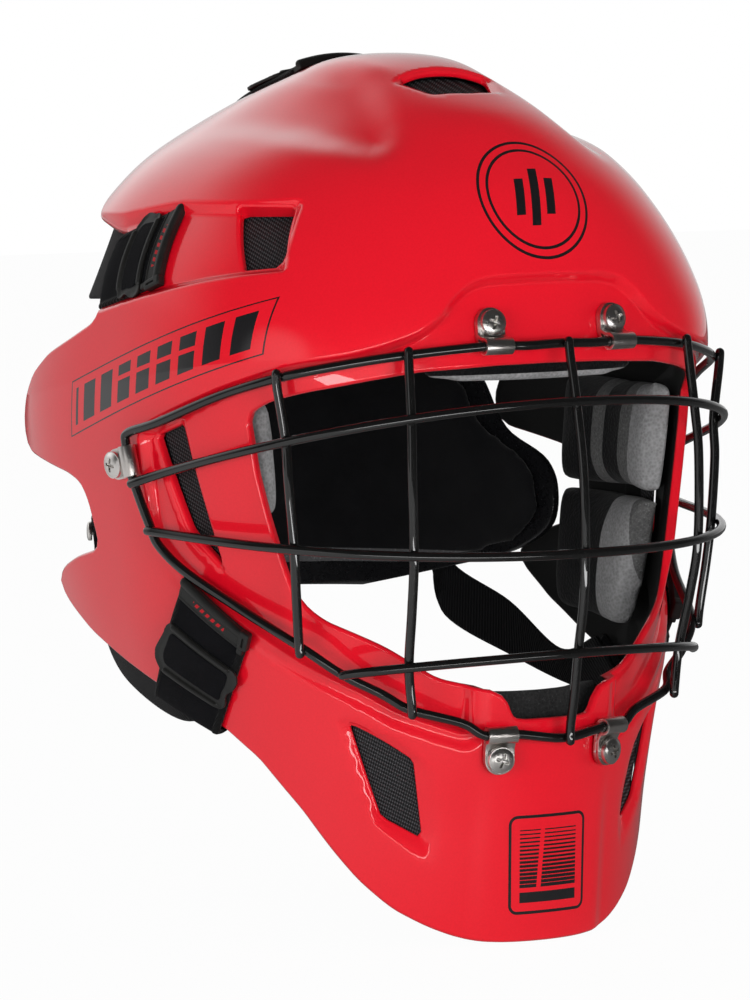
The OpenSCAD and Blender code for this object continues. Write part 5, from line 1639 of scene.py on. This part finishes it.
def buildPlate():
    rows, cols = 61, 97
    i, u = plateGrid(0, 15, rows, cols)
    plain = smoothRows(platePoint(i, u), rows, cols, 3)
    away = smoothRows(platePoint(i, u, 0, 1.0), rows, cols, 3) - plain
    away /= np.linalg.norm(away, axis=1)[:, None]
    # A rim band stands a little proud of the field
    grid = plain.reshape(rows, cols, 3)
    across = np.linalg.norm(np.diff(grid, axis=1), axis=2)
    fromLeft = np.concatenate([np.zeros((rows, 1)), np.cumsum(across, 1)], 1)
    sideways = np.minimum(fromLeft, fromLeft[:, -1:] - fromLeft).ravel()
    upright = np.minimum(plateForm["top"] - plain[:, 2], plain[:, 2] - plateForm["foot"])
    field = smoothStep((np.minimum(sideways, upright) - plateForm["rim"]) / plateForm["rimRamp"])
    outer = plain + away * (field * plateForm["rimRise"])[:, None]
    inner = plain + away * plateForm["thick"]
    plate = slab("back_plate_shell", outer, inner, rows, cols, plateGloss)
    smoothed(edged(plate, plateForm["round"], 3, 48), 50)
    dress(plate, "back_plate", "back_plate")
    # The pad: foam in cloth, swollen
    rows, cols = 29, 67
    i, u = plateGrid(1, 14, rows, cols)
    start, margin = plateForm["padStart"], plateForm["padMargin"]
    full = plateForm["pad"] * drawnIn(u) * drawnIn((i - 1) / 13)
    faces = (start + 0.5, start + full - 0.6)
    outer, inner = (smoothRows(platePoint(i, u, margin, depth), rows, cols, 2) for depth in faces)
    pad = swollen(slab("back_plate_lining", outer, inner, rows, cols, liningCloth), plateForm["padCap"])
    finishPad(pad, "back_plate", "back_plate_pad", liningCloth)


# Elastics: woven webbing from the straps' inner ends to the back plate
def plateSeat(i, share):
    return platePoint([i], np.array([share]), 0, -1.3)[0]


def elasticEdges(name):
    # Both edges' stations: under the strap, free, and on the plate; and the first station on the plate
    sewn, s = 8.1, strapForm["upper"]["under"]
    if name == "upper":
        strap = [[onSide(y, z, s + sewn + more)[0] for z in (-36, -63)] for y, more in ((2, 0), (8, 0.6))]
        free = [[(84, 36, -38), (92, 38, -64)], [(65, 66, -40), (78, 66, -66)]]
        seats = [[plateSeat(2, p), plateSeat(4, q)] for p, q in ((0.03, 0.03), (0.09, 0.08), (0.14, 0.12))]
    elif name == "lower":
        strap = [[onSide(-15, -195.5, sewn)[0], onSide(-40, -207.5, sewn)[0]]]
        free = [[(90.5, 4, -199.5), (88.6, -12, -213)], [(88, 33, -184), (85, 28, -204)],
                [(79, 60, -169), (76, 58, -191)]]
        shares = ((0.185, 0.03), (0.215, 0.075), (0.245, 0.12))
        seats = [[plateSeat(11, p), plateSeat(14, q)] for p, q in shares]
    else:
        strap = [[onCrown(x, y, sewn + 0.3)[0] for x in (16, -16)] for y in (65.6, 71.6)]
        free = [[(x, y, z) for x in (16, -16)] for y, z in ((79, -16), (93, -17))]
        seats = [[(x, y, z) for x in (16, -16)] for y, z in ((99.6, -25), (100.6, -39))]
    return np.array(strap + free + seats, float), len(strap + free)


def buildElastic(name):
    edges, landing = elasticEdges(name)
    top, low = through(edges[:, 0], 9), through(edges[:, 1], 9)
    wide = float(np.mean(np.linalg.norm(top - low, axis=1)))
    near = np.array([0, 0.3, 0.9, 1.8]) / wide
    across = np.concatenate([near, np.linspace(near[-1], 1 - near[-1], 9)[1:-1], 1 - near[::-1]])
    way = np.gradient(top, axis=0)
    n = np.cross(way, low - top)
    n /= np.linalg.norm(n, axis=1)[:, None]
    edge = np.minimum(across, 1 - across) * wide
    half = (0.7 * np.clip(0.35 + edge / 1.4, 0, 1))[:, None, None]
    rows, cols = len(across), len(top)
    line = top[None] * (1 - across)[:, None, None] + low[None] * across[:, None, None]
    outer, inner = line - n[None] * half, line + n[None] * half
    band = slab("elastic_" + name, outer.reshape(-1, 3), inner.reshape(-1, 3), rows, cols, webbing)
    along = np.concatenate([[0], np.cumsum(np.linalg.norm(np.diff((top + low) / 2, axis=0), axis=1))])
    carry(band, "along", np.tile(along, 2 * rows) * mm)
    start, end = (edges[k].sum(0) / 2 * mm for k in (0, landing))
    return band, (wide * mm, float(along[-1]) * mm), start, end


def buildElastics():
    for name in ("upper", "lower", "top"):
        band, flat, start, end = buildElastic(name)
        for node, piece, side in handed(band, "elastic_" + name, name != "top"):
            piece.name = "made_" + node
            first, last = tuple(start * (side, 1, 1)), tuple(end * (side, 1, 1))
            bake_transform(piece)
            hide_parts(node)


# Rivets through the webbing
rivetForm = {
    "places": [(2.5, 0.11), (3.6, 0.10), (11.6, 0.205), (13.2, 0.12)], "top": (1.2, 0.5), "spread": 9,
    "head": 3.5, "cap": 1.3, "steps": ((0.5, 0.28), (0.7, 0.22), (0.9, 0.1)), "bevel": 0.15,
    "shank": 1.5, "shankLong": 4.4, "shankAt": -2.0, "stand": 2.025}


def rivetFrames():
    # Place and outward way of each rivet
    def frameAt(i, share):
        at, deep = (platePoint([i], np.array([share]), 0, depth)[0] for depth in (0.0, 1.0))
        return at, (at - deep) / np.linalg.norm(at - deep)
    sides = [frameAt(*spot) for spot in rivetForm["places"]]
    made = [(at * (flip, 1, 1), out * (flip, 1, 1)) for at, out in sides for flip in (1, -1)]
    at, out = frameAt(*rivetForm["top"])
    return made + [(at + (side * rivetForm["spread"], 0, 0), out) for side in (1, -1)]


def buildRivets():
    cap = cylinder(40, rivetForm["head"], rivetForm["cap"], rivetForm["cap"] / 2)
    stepped(cap, rivetForm["steps"])
    edged(cap, rivetForm["bevel"], 2, 40)
    shank = cylinder(24, rivetForm["shank"], rivetForm["shankLong"], rivetForm["shankAt"])
    rivet = smoothed(joined("rivet", [cap, shank]), 40)
    heads = []
    for at, out in rivetFrames():
        turn = Vector(out).to_track_quat("Z", "Y").to_matrix().to_4x4()
        place = Matrix.Translation(Vector((at + out * rivetForm["stand"]) * mm)) @ turn
        heads.append(copied(rivet, "rivet", place))
    bpy.data.objects.remove(rivet)
    dress(repaint(joined("plateRivets", heads), screwSteel), "back_plate", "plate_rivets")


buildStraps()
print("straps laid")
buildPlate()
buildElastics()
buildRivets()
print("back plate hung")


# Stage: pale floor, white surround, soft lamps
stageForm = {
    "floorLevel": -0.2885, "floorSize": 8.0, "paperShare": 0.97, "ambient": 0.35, "darkRoom": 0.04,
    "wall": 0.65,
    "highWall": 0.62, "near": 1.0, "glossyFloor": 0.66, "glossyBase": 0.12, "strip": 10.0}


white = (1, 1, 1, 1)


def rays(shade):
    # Seen by the camera, by gloss, and through something clear
    path = shade.node("ShaderNodeLightPath", out=0)
    outputs = path.socket.node.outputs
    glossy, through = (Shade(shade.tree, outputs[name]) for name in ("Is Glossy Ray", "Is Transmission Ray"))
    return path, glossy, through


def makeFloor():
    bpy.ops.mesh.primitive_plane_add(size=stageForm["floorSize"], location=(0, 0, stageForm["floorLevel"]))
    floor = settle(bpy.context.object)
    floor.name = "studioFloor"
    paper = Finish("studioFloorPaper")
    seen, glossy, through = rays(paper.start)
    tone = paper.mix(paper.noise(300), (0.86, 0.86, 0.86), (0.90, 0.90, 0.90))
    diffuse = paper.start.node("ShaderNodeBsdfDiffuse", inputs={"Color": tone})
    glow = paper.start.node("ShaderNodeEmission", inputs={"Color": white, "Strength": 1.0})
    share = seen.either(through) * stageForm["paperShare"]
    mixed = paper.start.node("ShaderNodeMixShader", inputs={0: share, 1: diffuse, 2: glow})
    # What gloss sees of the floor: an even pale sheet with a bright strip before the object
    strip = within(paper.y * 10, -9.5, -6.5) * within(paper.x * 10, -9, 2)
    sheet = (1 - paper.x.soft(-0.25, 0.10)) * stageForm["glossyFloor"]
    below = strip * stageForm["strip"] + sheet + stageForm["glossyBase"]
    low = paper.start.node("ShaderNodeEmission", inputs={"Color": white, "Strength": below})
    mixed = paper.start.node("ShaderNodeMixShader", inputs={0: glossy, 1: mixed, 2: low})
    out = paper.tree.nodes.new("ShaderNodeOutputMaterial")
    paper.tree.links.new(mixed.socket, out.inputs[0])
    floor.data.materials.append(paper.material)


def makeSurround():
    world = bpy.data.worlds.new("studioSurround")
    scene.world = world
    world.use_nodes = True
    tree = world.node_tree
    tree.nodes.clear()
    air = Shade(tree)
    seen, glossy, through = rays(air)
    # What gloss sees: a white wall behind the object, a soft tall panel to its near side and one overhead
    way = air.node("ShaderNodeTexCoord", out=0)
    parts = air.node("ShaderNodeSeparateXYZ", inputs={0: way}).socket.node
    x, y, z = (Shade(tree, parts.outputs[k]) for k in range(3))
    wall = (x * 0.1 + y * 0.95).soft(0.05, 0.75) * (1 - z.soft(0.65, 0.92))
    high = (1 - x.soft(0.35, 0.62)) * z.soft(0.05, 0.30) * stageForm["highWall"]
    near = (x * -0.96 - y * 0.28).soft(0.93, 0.99) * z.soft(-0.5, -0.2) * (1 - z.soft(0.4, 0.6))
    room = wall * (high + stageForm["wall"]) + near * stageForm["near"] + stageForm["darkRoom"]
    dim, gloss, bright = (air.node("ShaderNodeBackground", inputs={"Color": white, "Strength": strength})
                          for strength in (stageForm["ambient"], room, 1.0))
    mixed = air.node("ShaderNodeMixShader", inputs={0: glossy, 1: dim, 2: gloss})
    mixed = air.node("ShaderNodeMixShader", inputs={0: seen.either(through), 1: mixed, 2: bright})
    out = tree.nodes.new("ShaderNodeOutputWorld")
    tree.links.new(mixed.socket, out.inputs[0])


lamps = {
    "keyBox": {"at": (-2.0, -1.05, -0.02), "aim": (0, 0, -0.14), "size": (1.1, 0.5), "power": 20},
    "frontBox": {"at": (-0.3, -2.3, 0.03), "aim": (0, 0, -0.17), "size": (1.1, 0.6), "power": 24},
    "topBox": {"at": (-0.2, 0.3, 1.9), "aim": (0, 0, 0), "size": (1.4, 1.4), "power": 1},
    "rimBox": {"at": (1.6, -0.9, -0.14), "aim": (0, 0, -0.16), "size": (0.5, 0.26), "power": 6}}


def makeLamps():
    for name, form in lamps.items():
        data = bpy.data.lights.new(name, "AREA")
        data.shape = "RECTANGLE"
        data.size, data.size_y = form["size"]
        data.energy = form["power"]
        lamp = bpy.data.objects.new(name, data)
        lamp.location = form["at"]
        lamp.visible_glossy = False  # the surround makes the reflections
        lamp.rotation_euler = (Vector(form["aim"]) - Vector(form["at"])).to_track_quat("-Z", "Y").to_euler()
        scene.collection.objects.link(lamp)


makeFloor()
makeSurround()
makeLamps()
print("stage and lamps stand")
